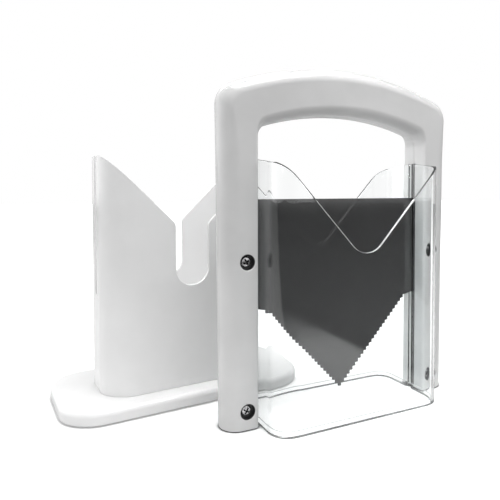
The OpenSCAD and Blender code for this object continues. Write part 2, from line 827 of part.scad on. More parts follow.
module shield_back() {
    in_blade_unit()
        color(clear)
            mirror([0, 1, 0])
                shield();
}

module frame_screw(s) {
    in_blade_unit()
        color(steel)
            translate([s[1] * screw_x, sunk_depth - half_d, s[2]])
                rotate([90, 0, 0])
                    screw(screw_length);
}

// Which pieces are drawn

base_plate();
cradle();
for (c = corners)
    base_screw(c);
for (c = corners)
    foot(c);
frame_front();
frame_back();
blade();
shield_front();
shield_back();
for (s = frame_screws)
    frame_screw(s);
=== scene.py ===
"""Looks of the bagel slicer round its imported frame: base with cradle on the left, blade unit on the right."""

import math

import bmesh
import bpy
import numpy as np
from mathutils import Matrix, Vector
from mathutils.geometry import delaunay_2d_cdt


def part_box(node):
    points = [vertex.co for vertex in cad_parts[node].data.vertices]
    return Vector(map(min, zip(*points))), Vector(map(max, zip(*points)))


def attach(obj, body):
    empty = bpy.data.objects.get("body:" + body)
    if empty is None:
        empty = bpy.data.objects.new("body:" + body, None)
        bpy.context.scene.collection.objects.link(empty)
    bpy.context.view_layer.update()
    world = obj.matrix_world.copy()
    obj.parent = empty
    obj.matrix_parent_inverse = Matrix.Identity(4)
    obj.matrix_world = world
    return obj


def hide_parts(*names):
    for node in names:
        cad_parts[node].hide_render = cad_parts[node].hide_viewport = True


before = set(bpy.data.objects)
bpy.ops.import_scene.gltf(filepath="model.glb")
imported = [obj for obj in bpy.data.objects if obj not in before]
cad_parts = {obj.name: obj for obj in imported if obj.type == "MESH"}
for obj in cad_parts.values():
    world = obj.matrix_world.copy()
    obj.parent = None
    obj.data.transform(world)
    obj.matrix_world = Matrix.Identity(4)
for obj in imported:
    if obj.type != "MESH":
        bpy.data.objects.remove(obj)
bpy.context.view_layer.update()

MM = 0.001

# Sizes in mm and slopes in degrees, as in the solids' source. Base plate and feet
PLATE_W, PLATE_D, PLATE_R, PLATE_EDGE, SKIN = 187.0, 93.0, 27.0, 3.4, 2.6
PLATE_TOP, PLATE_LOW, RIB_PITCH = 9.5, 0.8, 23.5
FOOT_R, FOOT_H, FOOT_INSET = 6.5, 2.4, 19.0
# Cradle, with its finger slots, blade slit and rest
CRADLE_W, CRADLE_D, CRADLE_H, CRADLE_R, WALL = 128.0, 60.0, 172.5, 22.0, 2.6
SLOPE, PEAK_R, LIP_R = 44.5, 3.0, 6.0
SLOT_HALF, SLOT_FLOOR, SLIT, SLIT_FLOOR = 12.8, 75.8, 5.0, 68.8
REST_APEX, REST_R = 19.8, 30.0
# Frame: uprights, arch, and the roundings of its section
GAP_HALF, UPRIGHT_W, DRAFT, UPRIGHT_H, WINDOW_R, SHOULDER_R = 70.0, 23.4, 1.6, 179.6, 10.0, 14.0
FRAME_HALF_D, ARCH_C, HANDLE_T = 12.2, 2.2, 33.0
EDGE_R, SIDE_ROUND, TOP_ROUND, GRIP_ROUND, GRIP_DEPTH = 2.2, 12.0, 9.8, 7.0, 8.4
# Blade, and how far it and the shields' flanges go into the frame
BLADE_T, BLADE_TOP, BLADE_CORNER, KNEE_X, KNEE_H, TIP_H = 1.2, 150.4, 77.1, 61.0, 75.0, 11.0
TEETH, TOOTH, GRIP = 24, 1.5, 13.5
# Shields, with the notch in their tops and the rim at their feet
SHIELD_HALF, SHIELD_REACH, SHIELD_WALL, SHIELD_H, SIDE_FALL, FLANGE_T = 68.0, 35.4, 2.0, 177.0, 3.8, 1.6
NOTCH_FLOOR, NOTCH_SLOPE, NOTCH_R, NOTCH_TOP_R, NOTCH_RISE = 114.3, 47.0, 15.7, 50.0, 3.7
RIM_H, RIM_T = 3.4, 1.0
# Screws, their sunk holes, and the posts that the base's screws go into
SCREW_X, SCREW_HEIGHTS, HEAD_R, HEAD_H, SHANK_R = 78.0, (109.8, 12.0), 3.75, 2.4, 1.5
SUNK_R, SUNK_DEPTH = 5.2, 4.6
BASE_SCREW_X, BASE_SCREW_Y, POST_H, POST_R, BORE_DEPTH = 52.5, 18.5, 20.0, 4.0, 12.5
FRAME_SCREW_L, BASE_SCREW_L = 14, 12


def middle(*nodes):
    """Middle of some CAD nodes seen from above, in mm."""
    boxes = [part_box(n) for n in nodes]
    return [(min(b[0][i] for b in boxes) + max(b[1][i] for b in boxes)) / 2 / MM for i in (0, 1)]


BASE_AT = middle("base_plate")
UNIT_AT = middle("frame_front", "frame_back")
UNIT_TURN = math.radians(-4.0)


def in_base(p):
    return (np.asarray(p, float) + (BASE_AT[0], BASE_AT[1], 0)) * MM


def in_unit(p):
    p = np.asarray(p, float)
    c, s = math.cos(UNIT_TURN), math.sin(UNIT_TURN)
    x, y = c * p[:, 0] - s * p[:, 1], s * p[:, 0] + c * p[:, 1]
    return np.stack([x + UNIT_AT[0], y + UNIT_AT[1], p[:, 2]], 1) * MM


# Colours and materials

def linear(hex_colour):
    """sRGB hex to linear RGBA."""
    parts = [int(hex_colour[i:i + 2], 16) / 255 for i in (0, 2, 4)]
    return [c / 12.92 if c <= 0.04045 else ((c + 0.055) / 1.055) ** 2.4 for c in parts] + [1.0]


def add(tree, kind, settings=None, **links):
    """A node with its settings, and its inputs set or linked by name, or by number as i0, i1 and so on.

    A node given for an input links its first output.
    """
    n = tree.nodes.new(kind)
    for key, value in (settings or {}).items():
        setattr(n, key, value)
    for key, value in links.items():
        numbered = key[0] == "i" and key[1:].isdigit()
        socket = n.inputs[int(key[1:]) if numbered else key.replace("_", " ")]
        if isinstance(value, bpy.types.Node):
            value = value.outputs[0]
        if isinstance(value, bpy.types.NodeSocket):
            tree.links.new(value, socket)
        else:
            socket.default_value = value
    return n


# What many nodes have in common: a mix of colours, a smooth step, and the part of its range that a noise fills
COLOURS, SMOOTH = {"data_type": "RGBA"}, {"interpolation_type": "SMOOTHSTEP"}
OF_NOISE = {"From_Min": 0.35, "From_Max": 0.65}


def material(name):
    """New material, its empty tree, and the places on the object that its patterns read."""
    m = bpy.data.materials.new(name)
    m.use_nodes = True
    m.node_tree.nodes.clear()
    return m, m.node_tree, add(m.node_tree, "ShaderNodeTexCoord").outputs["Object"]


def per_metre(size_mm):
    """Scale of a pattern whose grain has a real size."""
    return 1000 / size_mm


def ends_clear(t, **inputs):
    """The tree ends in a clear principled shader that lets lamps through."""
    shader = add(t, "ShaderNodeBsdfPrincipled", IOR=1.49, **inputs)
    lamps = add(t, "ShaderNodeBsdfTransparent", Color=linear("f4f6f6"))
    path = add(t, "ShaderNodeLightPath").outputs
    both = add(t, "ShaderNodeMixShader", i0=path["Is Shadow Ray"], i1=shader, i2=lamps)
    add(t, "ShaderNodeOutputMaterial", Surface=both)


def moulded_abs(name, dull, lighter, rough=0.13):
    m, t, where = material(name)
    # the faint cloudiness of pigment in a large moulding
    clouds = add(t, "ShaderNodeTexNoise", Vector=where, Scale=per_metre(26), Detail=3)
    share = add(t, "ShaderNodeMapRange", Value=clouds, **OF_NOISE)
    colour = add(t, "ShaderNodeMix", COLOURS, i0=share, i6=linear(dull), i7=linear(lighter)).outputs[2]
    # gloss that comes and goes with fine handling marks
    marks = add(t, "ShaderNodeTexNoise", Vector=where, Scale=per_metre(1.7), Detail=5, Roughness=0.65)
    gloss = add(t, "ShaderNodeMapRange", Value=marks, To_Min=rough - 0.03, To_Max=rough + 0.05, **OF_NOISE)
    # the shallow waviness of an injection-moulded face over a finer orange peel
    swell = add(t, "ShaderNodeTexNoise", Vector=where, Scale=per_metre(9), Detail=2)
    wave = add(t, "ShaderNodeBump", Height=swell, Strength=0.06, Distance=0.2 * MM)
    dimples = add(t, "ShaderNodeTexNoise", Vector=where, Scale=per_metre(0.7), Detail=2)
    peel = add(t, "ShaderNodeBump", Height=dimples, Strength=0.03, Distance=0.05 * MM, Normal=wave)
    shader = add(t, "ShaderNodeBsdfPrincipled", Base_Color=colour, Roughness=gloss, IOR=1.53, Normal=peel)
    add(t, "ShaderNodeOutputMaterial", Surface=shader)
    return m


def shaded_recess():
    m, t, where = material("abs_in_slots_and_recesses")
    # painted shade: walls in the slots and under the screw heads are coloured near black where the clamped sheets
    # and the screw heads leave them in shade; dull, with faint tool marks
    marks = add(t, "ShaderNodeTexNoise", Vector=where, Scale=per_metre(1.2), Detail=3)
    share = add(t, "ShaderNodeMapRange", Value=marks, **OF_NOISE)
    colour = add(t, "ShaderNodeMix", COLOURS, i0=share, i6=linear("262627"), i7=linear("39393a")).outputs[2]
    shader = add(t, "ShaderNodeBsdfPrincipled", Base_Color=colour, Roughness=0.35, IOR=1.53)
    add(t, "ShaderNodeOutputMaterial", Surface=shader)
    return m


def clear_acrylic():
    m, t, where = material("clear_moulded_acrylic")
    # hairline wiping marks drawn out upwards, a little rougher than the clear sheet round them
    drawn = add(t, "ShaderNodeMapping", Vector=where, Scale=(1, 1, 0.06))
    marks = add(t, "ShaderNodeTexNoise", Vector=drawn, Scale=per_metre(0.8), Detail=2)
    haze = add(t, "ShaderNodeMapRange", Value=marks, From_Min=0.62, From_Max=0.8, To_Max=0.03)
    ends_clear(t, Base_Color=linear("fcfdfd"), Roughness=haze, Transmission_Weight=1.0)
    return m


def sawn_edge():
    m, t, where = material("acrylic_sheet_edge")
    # painted light and shade: a sheet's edge is coloured bright in front of the blade, and dark at its foot and
    # against the open window above
    height = add(t, "ShaderNodeSeparateXYZ", Vector=where).outputs["Z"]
    above = add(t, "ShaderNodeMapRange", Value=height, From_Min=(BLADE_TOP - 1) * MM, From_Max=(BLADE_TOP + 1) * MM)
    foot = add(t, "ShaderNodeMapRange", Value=height, From_Min=RIM_H / 2 * MM, From_Max=(RIM_H / 2 + 0.5) * MM,
               To_Min=1, To_Max=0)
    dark = add(t, "ShaderNodeMath", {"operation": "MAXIMUM"}, i0=above, i1=foot)
    # the saw's streaks across the edge
    cuts = add(t, "ShaderNodeTexNoise", Vector=where, Scale=per_metre(0.9), Detail=3)
    streaks = add(t, "ShaderNodeMapRange", Value=cuts, **OF_NOISE)
    painted_lit = add(t, "ShaderNodeMix", COLOURS, i0=streaks, i6=linear("eef0f0"), i7=linear("ffffff")).outputs[2]
    painted_shade = add(t, "ShaderNodeMix", COLOURS, i0=streaks, i6=linear("222525"), i7=linear("3c4040")).outputs[2]
    colour = add(t, "ShaderNodeMix", COLOURS, i0=dark, i6=painted_lit, i7=painted_shade).outputs[2]
    clear = add(t, "ShaderNodeMapRange", Value=dark, To_Min=0.35)
    ends_clear(t, Base_Color=colour, Roughness=0.12, Transmission_Weight=clear)
    return m


def coated_steel():
    m, t, where = material("non_stick_coated_steel")
    # the coating's fine speckle, in a gloss that is duller where it has been wiped
    speckle = add(t, "ShaderNodeTexNoise", Vector=where, Scale=per_metre(0.5), Detail=4, Roughness=0.7)
    share = add(t, "ShaderNodeMapRange", Value=speckle, **OF_NOISE)
    colour = add(t, "ShaderNodeMix", COLOURS, i0=share, i6=linear("393939"), i7=linear("404041")).outputs[2]
    wiped = add(t, "ShaderNodeTexNoise", Vector=where, Scale=per_metre(22), Detail=3)
    sheen = add(t, "ShaderNodeMapRange", Value=wiped, To_Min=0.07, To_Max=0.10, **OF_NOISE)
    swell = add(t, "ShaderNodeTexNoise", Vector=where, Scale=per_metre(6), Detail=2)
    bump = add(t, "ShaderNodeBump", Height=swell, Strength=0.03, Distance=0.1 * MM)
    shader = add(t, "ShaderNodeBsdfPrincipled", Base_Color=colour, Roughness=sheen, IOR=1.9, Normal=bump)
    add(t, "ShaderNodeOutputMaterial", Surface=shader)
    return m


def plated_steel():
    m, t, where = material("bright_plated_steel")
    # zinc plating with a fine crystalline unevenness
    crystals = add(t, "ShaderNodeTexNoise", Vector=where, Scale=per_metre(0.6), Detail=3)
    share = add(t, "ShaderNodeMapRange", Value=crystals, **OF_NOISE)
    plating = add(t, "ShaderNodeMix", COLOURS, i0=share, i6=linear("b9b9bb"), i7=linear("dededf")).outputs[2]
    # painted shade: dark down in the cross recess and the screw's other hollows, from an occlusion test
    occlusion_shade = add(t, "ShaderNodeAmbientOcclusion", {"samples": 8, "only_local": True}, Distance=1.6 * MM).outputs["AO"]
    lighter = add(t, "ShaderNodeMapRange", Value=occlusion_shade, From_Min=0.45, From_Max=0.8)
    colour = add(t, "ShaderNodeMix", COLOURS, i0=lighter, i6=linear("0c0c0d"), i7=plating).outputs[2]
    uneven = add(t, "ShaderNodeTexNoise", Vector=where, Scale=per_metre(0.9), Detail=4, Roughness=0.7)
    shine = add(t, "ShaderNodeMapRange", Value=uneven, To_Min=0.16, To_Max=0.3, **OF_NOISE)
    shader = add(t, "ShaderNodeBsdfPrincipled", Base_Color=colour, Roughness=shine, Metallic=1.0)
    add(t, "ShaderNodeOutputMaterial", Surface=shader)
    return m


def grey_rubber():
    m, t, where = material("grey_rubber")
    # matt rubber with the grain of its mould and a little dust
    dust = add(t, "ShaderNodeTexNoise", Vector=where, Scale=per_metre(2.2), Detail=4)
    share = add(t, "ShaderNodeMapRange", Value=dust, **OF_NOISE)
    colour = add(t, "ShaderNodeMix", COLOURS, i0=share, i6=linear("55575a"), i7=linear("66686b")).outputs[2]
    mould = add(t, "ShaderNodeTexNoise", Vector=where, Scale=per_metre(0.4), Detail=3)
    bump = add(t, "ShaderNodeBump", Height=mould, Strength=0.25, Distance=0.08 * MM)
    shader = add(t, "ShaderNodeBsdfPrincipled", Base_Color=colour, Roughness=0.82, IOR=1.5, Normal=bump)
    add(t, "ShaderNodeOutputMaterial", Surface=shader)
    return m


FRAME_ABS = moulded_abs("glossy_moulded_abs_handle", "dadada", "dfdfdf")
BASE_ABS = moulded_abs("glossy_moulded_abs_base", "f0f0f0", "f3f3f3", 0.16)
ACRYLIC, ACRYLIC_EDGE_PAINTED_LIGHT = clear_acrylic(), sawn_edge()
RECESS_SHADE, BLADE, STEEL, RUBBER = shaded_recess(), coated_steel(), plated_steel(), grey_rubber()


# Meshes

SHARP = 40.0


def linked(name, data):
    """Object of some data, in the scene."""
    obj = bpy.data.objects.new(name, data)
    bpy.context.scene.collection.objects.link(obj)
    return obj


def shaded(mesh, sharp=SHARP):
    """Smooth shading but for edges sharper than an angle."""
    mesh.shade_smooth()
    mesh.set_sharp_from_angle(angle=math.radians(sharp))


def mesh_object(name, parts, place, finish, sharp=SHARP, second=None, where=None):
    """One object from (points, faces) parts, with normals outwards.

    Faces whose points, in the parts' own mm, pass the where test take the second finish.
    """
    bm = bmesh.new()
    for points, faces in parts:
        verts = [bm.verts.new(p) for p in place(points)]
        piece = [bm.faces.new([verts[i] for i in f]) for f in faces]
        for f, g in zip(piece, faces):
            f.material_index = int(bool(where) and bool(where(np.array([points[i] for i in g]))))
        bmesh.ops.recalc_face_normals(bm, faces=piece)
    mesh = bpy.data.meshes.new(name)
    mesh.materials.append(finish)
    if second:
        mesh.materials.append(second)
    bm.to_mesh(mesh)
    bm.free()
    shaded(mesh, sharp)
    return linked(name, mesh)


def merged(points, faces):
    """Points that coincide become one."""
    same = 1e-5
    key = np.round(np.asarray(points) / same).astype(np.int64)
    _, first, index = np.unique(key, axis=0, return_index=True, return_inverse=True)
    index = index.reshape(-1)
    out = []
    for f in faces:
        g = [int(index[i]) for i in f]
        g = [a for k, a in enumerate(g) if a != g[k - 1]]
        if len(g) > 2:
            out.append(g)
    return np.asarray(points)[first], out


def bands(count, n):
    """Four-sided faces between neighbouring rings of n points, in order round each ring."""
    return [(k * n + i, k * n + (i + 1) % n, (k + 1) * n + (i + 1) % n, (k + 1) * n + i)
            for k in range(count - 1) for i in range(n)]


def loft(rings, caps=True):
    """Skin through closed rings of equally many points."""
    n, count = len(rings[0]), len(rings)
    faces = bands(count, n)
    if caps:
        faces += [tuple(range(n))[::-1], tuple((count - 1) * n + i for i in range(n))]
    return np.concatenate(rings), faces


def turned(profile, steps=48):
    """Solid of revolution about Z from (radius, height) points that start and end on the axis."""
    points, rows = [], []
    for r, z in profile:
        if r == 0:
            rows.append([len(points)])
            points.append((0, 0, z))
        else:
            rows.append([len(points) + i for i in range(steps)])
            points += [(r * math.cos(2 * math.pi * i / steps), r * math.sin(2 * math.pi * i / steps), z)
                       for i in range(steps)]
    faces = []
    for a, b in zip(rows, rows[1:]):
        for i in range(steps):
            j = (i + 1) % steps
            f = [a[i % len(a)], a[j % len(a)], b[j % len(b)], b[i % len(b)]]
            f = [v for k, v in enumerate(f) if v != f[k - 1]]
            if len(f) > 2:
                faces.append(f)
    return np.array(points, float), faces


def arc(cx, cy, r, a0, a1, n):
    """Points of an arc in degrees."""
    a = np.radians(np.linspace(a0, a1, n + 1))
    return np.stack([cx + r * np.cos(a), cy + r * np.sin(a)], 1)


def rounded_plan(w, d, r, n=14):
    """Rounded rectangle seen from above."""
    x, y = w / 2 - r, d / 2 - r
    return np.concatenate([arc(x, y, r, 0, 90, n), arc(-x, y, r, 90, 180, n),
                           arc(-x, -y, r, 180, 270, n), arc(x, -y, r, 270, 360, n)])


def wall(outline, seam, shape, half, r, grid, support=0.5, guides=(), steps=3):
    """Closed wall of an outline drawn in (along, up): both faces, joined by rounded edges but at the seams.

    shape maps (along, up, across) to points, half is half the wall's thickness, r rounds its edges in some
    steps, support is the flat strip next to them, grid holds the inner points of the faces, and guides are
    pairs of points that lie on edges of both faces.
    """
    p = np.asarray(outline, float)
    n = len(p)
    edge = np.roll(p, -1, 0) - p
    edge /= np.linalg.norm(edge, axis=1)[:, None]
    inward = np.stack([-edge[:, 1], edge[:, 0]], 1)
    move = np.zeros((n, 2))
    for i in range(n):
        a, b = i - 1, i
        if seam[a] and seam[b]:
            continue
        if seam[a]:
            move[i] = -edge[a] / (-edge[a] @ inward[b])
        elif seam[b]:
            move[i] = edge[b] / (edge[b] @ inward[a])
        else:
            move[i] = (inward[a] + inward[b]) / (1 + inward[a] @ inward[b])
    turn = np.radians(np.linspace(0, 90, steps + 1))
    rings = [(r + support, half)] + [(r * (1 - math.sin(t)), half - r * (1 - math.cos(t))) for t in turn]
    rings += [(inset, -across) for inset, across in reversed(rings)]
    uvw = [np.column_stack([p + move * inset, np.full(n, across)]) for inset, across in rings]
    faces = [f for k, f in enumerate(bands(len(rings), n)) if not seam[k % n]]
    rim = p + move * (r + support)
    extra = [q for g in guides for q in g]
    flat = [Vector(q) for q in rim] + [Vector(q) for q in grid] + [Vector(q) for q in extra]
    first = n + len(grid)
    lines = [(first + 2 * k, first + 2 * k + 1) for k in range(len(guides))]
    found, _, tris, source, _, _ = delaunay_2d_cdt(flat, lines, [list(range(n))], 1, 1e-6)
    for sign, ring in ((1, 0), (-1, len(rings) - 1)):
        index, start = [], sum(len(q) for q in uvw)
        added = []
        for v, old in zip(found, source):
            edge_points = [o for o in old if o < n]
            if edge_points:
                index.append(ring * n + edge_points[0])
            else:
                index.append(start + len(added))
                added.append((v.x, v.y, sign * half))
        if added:
            uvw.append(np.array(added))
        faces += [tuple(index[i] for i in (t if sign > 0 else t[::-1])) for t in tris]
    q = np.concatenate(uvw)
    return shape(q[:, 0], q[:, 1], q[:, 2]), faces


def course(line):
    """Path through (x, y, nx, ny) rows: the way to each row, and a function from the way to those four."""
    line = np.asarray(line, float)
    way = np.concatenate([[0], np.cumsum(np.linalg.norm(np.diff(line[:, :2], axis=0), axis=1))])

    def at(u):
        x, y, nx, ny = (np.interp(u, way, line[:, k]) for k in range(4))
        size = np.hypot(nx, ny)
        return x, y, nx / size, ny / size
    return way, at


# Frame: two mirrored mouldings that meet on a parting plane

def frame_outline(length, inner_r, inner_y, outer_r, shrink):
    """Half a section: the way outwards from the window, and the depth from the parting plane."""
    deep, far = FRAME_HALF_D - shrink, length - shrink
    # rounding of the edges on the parting plane, and the flat strips next to the roundings
    part, side_strip, face_strip = 0.45, 0.5, 0.6
    ir, iy, outer = max(inner_r - shrink, 0.3), max(inner_y - shrink, 0.3), max(outer_r - shrink, 0.5)
    a = np.radians(np.linspace(0, 90, 11))
    b = np.radians(np.linspace(90, 3, 19))
    c = np.radians(np.linspace(0, 90, 5))
    rows = [np.stack([shrink + part * (1 - np.sin(c)), part * (1 - np.cos(c))], 1)]
    rows.append(np.array([[shrink, part + side_strip], [shrink, deep - iy - side_strip]]))
    rows.append(np.stack([shrink + ir * (1 - np.cos(a)), deep - iy + iy * np.sin(a)], 1))
    rows.append(np.array([[shrink + ir + face_strip, deep], [far - outer - face_strip, deep]]))
    rows.append(np.stack([far - outer * (1 - np.cos(b)), deep * np.sin(b)], 1))
    rows.append(np.stack([far - part * (1 - np.sin(c[::-1])), part * (1 - np.cos(c[::-1]))], 1))
    return np.concatenate(rows)


def heading(degrees):
    """Step of length 1 in a direction."""
    return math.cos(math.radians(degrees)), math.sin(math.radians(degrees))


def frame_stations():
    """Where the frame's section stands, from the left foot to the right foot.

    Each row has the inner point, the outer point, the share of the handle's section, and how much less the
    section is where a foot's edge is rounded.
    """
    foot_half = GAP_HALF + UPRIGHT_W
    wide = foot_half + DRAFT
    window_h = UPRIGHT_H + WINDOW_R
    rise = window_h - ARCH_C
    in_r = WINDOW_R + math.hypot(rise, GAP_HALF - WINDOW_R)
    out_r = in_r + HANDLE_T
    shoulder_rise = math.sqrt((out_r - SHOULDER_R) ** 2 - (wide - SHOULDER_R) ** 2)
    shoulder_h = ARCH_C + shoulder_rise
    out_dir = math.degrees(math.atan2(shoulder_rise, -(wide - SHOULDER_R)))
    in_dir = math.degrees(math.atan2(rise, -(GAP_HALF - WINDOW_R)))
    left = []
    foot_r, strip = 0.7, 0.5
    heights = [(foot_r * (1 - math.cos(t)), foot_r * (1 - math.sin(t))) for t in np.radians(np.linspace(0, 90, 5))]
    heights += [(z, 0.0) for z in (foot_r + strip, *np.linspace(6, UPRIGHT_H, 24))]
    for z, shrink in heights:
        left.append(((-GAP_HALF, z), (-(foot_half + DRAFT * z / shoulder_h), z), 0.0, shrink))
    # round the window's corner and the shoulder together
    for f in np.linspace(0, 1, 25)[1:]:
        (ax, az), (bx, bz) = heading(180 + (in_dir - 180) * f), heading(180 + (out_dir - 180) * f)
        left.append(((WINDOW_R * (1 + ax) - GAP_HALF, window_h + WINDOW_R * az),
                     (SHOULDER_R * (1 + bx) - wide, shoulder_h + SHOULDER_R * bz), f, 0.0))
    # along the arch to its middle
    for f in np.linspace(0, 1, 31)[1:]:
        (ax, az), (bx, bz) = heading(in_dir + (90 - in_dir) * f), heading(out_dir + (90 - out_dir) * f)
        left.append(((in_r * ax, ARCH_C + in_r * az), (out_r * bx, ARCH_C + out_r * bz), 1.0, 0.0))
    return left + [((-a[0], a[1]), (-b[0], b[1]), k, s) for a, b, k, s in left[-2::-1]]


def frame_half(side):
    """Rings of one moulding: side -1 is the front half."""
    rings = []
    for a, b, k, shrink in frame_stations():
        a, b = np.array(a), np.array(b)
        length = np.linalg.norm(b - a)
        e = (b - a) / length
        o = frame_outline(length, EDGE_R + (GRIP_ROUND - EDGE_R) * k, EDGE_R + (GRIP_DEPTH - EDGE_R) * k,
                          SIDE_ROUND + (TOP_ROUND - SIDE_ROUND) * k, shrink)
        rings.append(np.stack([a[0] + e[0] * o[:, 0], side * o[:, 1], a[1] + e[1] * o[:, 0]], 1))
    return loft(rings)


def block(x0, x1, y0, y1, z0, z1):
    """Box, used only to cut a slot."""
    plan = ((x0, y0), (x1, y0), (x1, y1), (x0, y1))
    return loft([np.array([(x, y, z) for x, y in plan], float) for z in (z0, z1)])


def facing_front(points, x, z):
    """A turned shape with its axis brought round to point out of the frame's front."""
    p = np.asarray(points)
    return np.stack([p[:, 0] + x, -p[:, 2], p[:, 1] + z], 1)


def cut(obj, parts, place, finish, second=None, where=None):
    """The object less some closed parts."""
    tool = mesh_object("cutting_shape", parts, place, finish, second=second, where=where)
    modifier = obj.modifiers.new("cut", "BOOLEAN")
    modifier.operation, modifier.solver, modifier.object = "DIFFERENCE", "EXACT", tool
    modifier.material_mode = "TRANSFER"
    baked(obj)
    bpy.data.objects.remove(tool)


def baked(obj):
    """The object's modifiers become its mesh."""
    bpy.context.view_layer.update()
    mesh = bpy.data.meshes.new_from_object(obj.evaluated_get(bpy.context.evaluated_depsgraph_get()))
    obj.modifiers.clear()
    old, name = obj.data, obj.data.name
    obj.data = mesh
    bpy.data.meshes.remove(old)
    mesh.name = name
    shaded(mesh)


stack = FLANGE_T + BLADE_T / 2
overrun, slot_room = 1, 0.4
slots = [block(x0, x1, -stack, stack, -overrun, SHIELD_H + slot_room)
         for x0, x1 in ((-GAP_HALF - GRIP, overrun - GAP_HALF), (GAP_HALF - overrun, GAP_HALF + GRIP))]
lip, hole_corner = 0.5, 0.4
hole_floor = FRAME_HALF_D - SUNK_DEPTH
mouth = [(0, FRAME_HALF_D + overrun), (SUNK_R + lip, FRAME_HALF_D + overrun)]
mouth += [(SUNK_R + lip - lip * math.cos(t), FRAME_HALF_D - lip + lip * math.sin(t))
          for t in np.radians(np.linspace(90, 0, 5))]
mouth += [(SUNK_R - hole_corner * (1 - math.cos(t)), hole_floor + hole_corner * (1 - math.sin(t)))
          for t in np.radians((0, 45, 90))]
mouth += [(0, hole_floor)]
frame_screw_spots = [(x, z) for x in (-SCREW_X, SCREW_X) for z in SCREW_HEIGHTS]
points, faces = turned(mouth, 64)
holes = [(facing_front(points, x, z), faces) for x, z in frame_screw_spots]


def unlit(face):
    """Whether a face lies inside the slots or, under their lips, the screw holes, where the walls take the painted
    shade.
    """
    x, y, _ = face.mean(axis=0)
    under_lip = -FRAME_HALF_D + lip + 0.02 < y < -stack - 1
    return abs(y) < stack + 0.1 or (under_lip and abs(abs(x) - SCREW_X) < SUNK_R)


frame_front = mesh_object("handle_frame_front", [frame_half(-1)], in_unit, FRAME_ABS)
# the slots' walls and the screw holes under their lips take the painted shade
cut(frame_front, slots + holes, in_unit, FRAME_ABS, RECESS_SHADE, unlit)
frame_back = mesh_object("handle_frame_back", [frame_half(1)], in_unit, FRAME_ABS)
cut(frame_back, slots, in_unit, FRAME_ABS, RECESS_SHADE, unlit)


# Cradle: a wall round a rounded rectangle, notched, with a V-shaped rest inside

def notch_height(x, apex, slope, top, r):
    """Height of a V notch's edge at a distance from its middle, with a rounded shoulder under its top."""
    s = math.radians(slope)
    cx = (top - r - apex + r / math.cos(s)) / math.tan(s)
    line = apex + x * math.tan(s)
    bend = top - r + np.sqrt(np.maximum(r * r - (x - cx) ** 2, 0))
    return np.where(x < cx - r * math.sin(s), line, np.where(x < cx, bend, top))


def cradle_course():
    """The middle of the cradle's wall, left half, from the front's middle round to the back's."""
    hx, hy, r = CRADLE_W / 2 - WALL / 2, CRADLE_D / 2 - WALL / 2, CRADLE_R - WALL / 2
    line = [(0, -hy, 0, -1)]
    for cy, a0 in ((-hy + r, 270), (hy - r, 180)):
        for a in np.radians(np.linspace(a0, a0 - 90, 91)):
            line.append((-hx + r + r * math.cos(a), cy + r * math.sin(a), math.cos(a), math.sin(a)))
    line.append((0, hy, 0, 1))
    return line


way, cradle_at = course(cradle_course())
half_way = way[-1] / 2
apex = CRADLE_H - CRADLE_W / 2 * math.tan(math.radians(SLOPE))


def cradle_top(x):
    return notch_height(np.abs(x), apex, SLOPE, CRADLE_H, PEAK_R)


# the left half's top edge from the middle of the front: finger slot, slope, peak, and down to the slit's floor
lip_x = SLOT_HALF + LIP_R
lip_z = apex + lip_x * math.tan(math.radians(SLOPE)) - LIP_R / math.cos(math.radians(SLOPE))
edge = [tuple(q) for q in arc(0, SLOT_FLOOR + SLOT_HALF, SLOT_HALF, -90, 0, 20)]
edge += [(SLOT_HALF, z) for z in np.linspace(SLOT_FLOOR + SLOT_HALF, lip_z, 6)[1:-1]]
edge += [tuple(q) for q in arc(lip_x, lip_z, LIP_R, 180, 90 + SLOPE, 10)]
start = edge[-1][0]
corner_way = CRADLE_W / 2 - CRADLE_R
slit_way = half_way - SLIT / 2
# the points lie closer next to the slit
near_slit = half_way - 8
along = np.concatenate([np.linspace(start, corner_way, 12)[1:], np.linspace(corner_way, near_slit, 26)[1:],
                        np.linspace(near_slit, slit_way, 4)[1:]])
edge += [(u, float(cradle_top(cradle_at(u)[0]))) for u in along]
edge += [(slit_way, z) for z in np.linspace(edge[-1][1], SLIT_FLOOR + SLIT / 2, 12)[1:]]
floor_half = arc(half_way, SLIT_FLOOR + SLIT / 2, SLIT / 2, 180, 270, 8)[1:]
edge += [tuple(q) for q in floor_half]
other = [(2 * half_way - u, z) for u, z in edge[-2::-1]]
other_corner = 2 * half_way - corner_way
foot_line = [(u, 0.0) for u in np.concatenate([np.linspace(2 * half_way, other_corner, 8),
                                               np.linspace(other_corner, corner_way, 52)[1:],
                                               np.linspace(corner_way, 0, 8)[1:]])]
# anticlockwise: along the foot, up the back's seam, and back over the top
outline = np.array(foot_line[::-1] + (edge + other)[::-1])
seams = [False] * len(outline)
seams[len(foot_line) - 1] = seams[-1] = True
columns = np.concatenate([np.linspace(0, corner_way, 7)[1:], np.linspace(corner_way, other_corner, 40)[1:],
                          np.linspace(other_corner, 2 * half_way, 7)[1:-1]])
# the faces' inner points keep clear of the edges
grid = []
for u in columns:
    x = abs(float(cradle_at(u)[0]))
    top = float(cradle_top(x)) - 3.5
    if x < SLOT_HALF + 1.5:
        top = SLOT_FLOOR - 2.5
    elif x < lip_x + 2:
        top -= 3
    if abs(u - half_way) < SLIT / 2 + 1.2:
        top = SLIT_FLOOR - 2
    grid += [(u, z) for z in np.arange(5, top, 9.0)]


def leaning(z, start, full, shift):
    """How far a wall's points rise to follow its sloped top: nothing low down, all at the top."""
    return np.clip((z - start) / (full - start), 0, 1) * shift


def cradle_shape(u, z, w):
    x, y, nx, ny = cradle_at(u)
    x1 = x + nx * w
    lean = leaning(z, 80, 140, (cradle_top(x1) - cradle_top(x)) * (np.abs(nx) > 1e-9))
    return np.stack([x1, y + ny * w, PLATE_TOP + z + lean], 1)


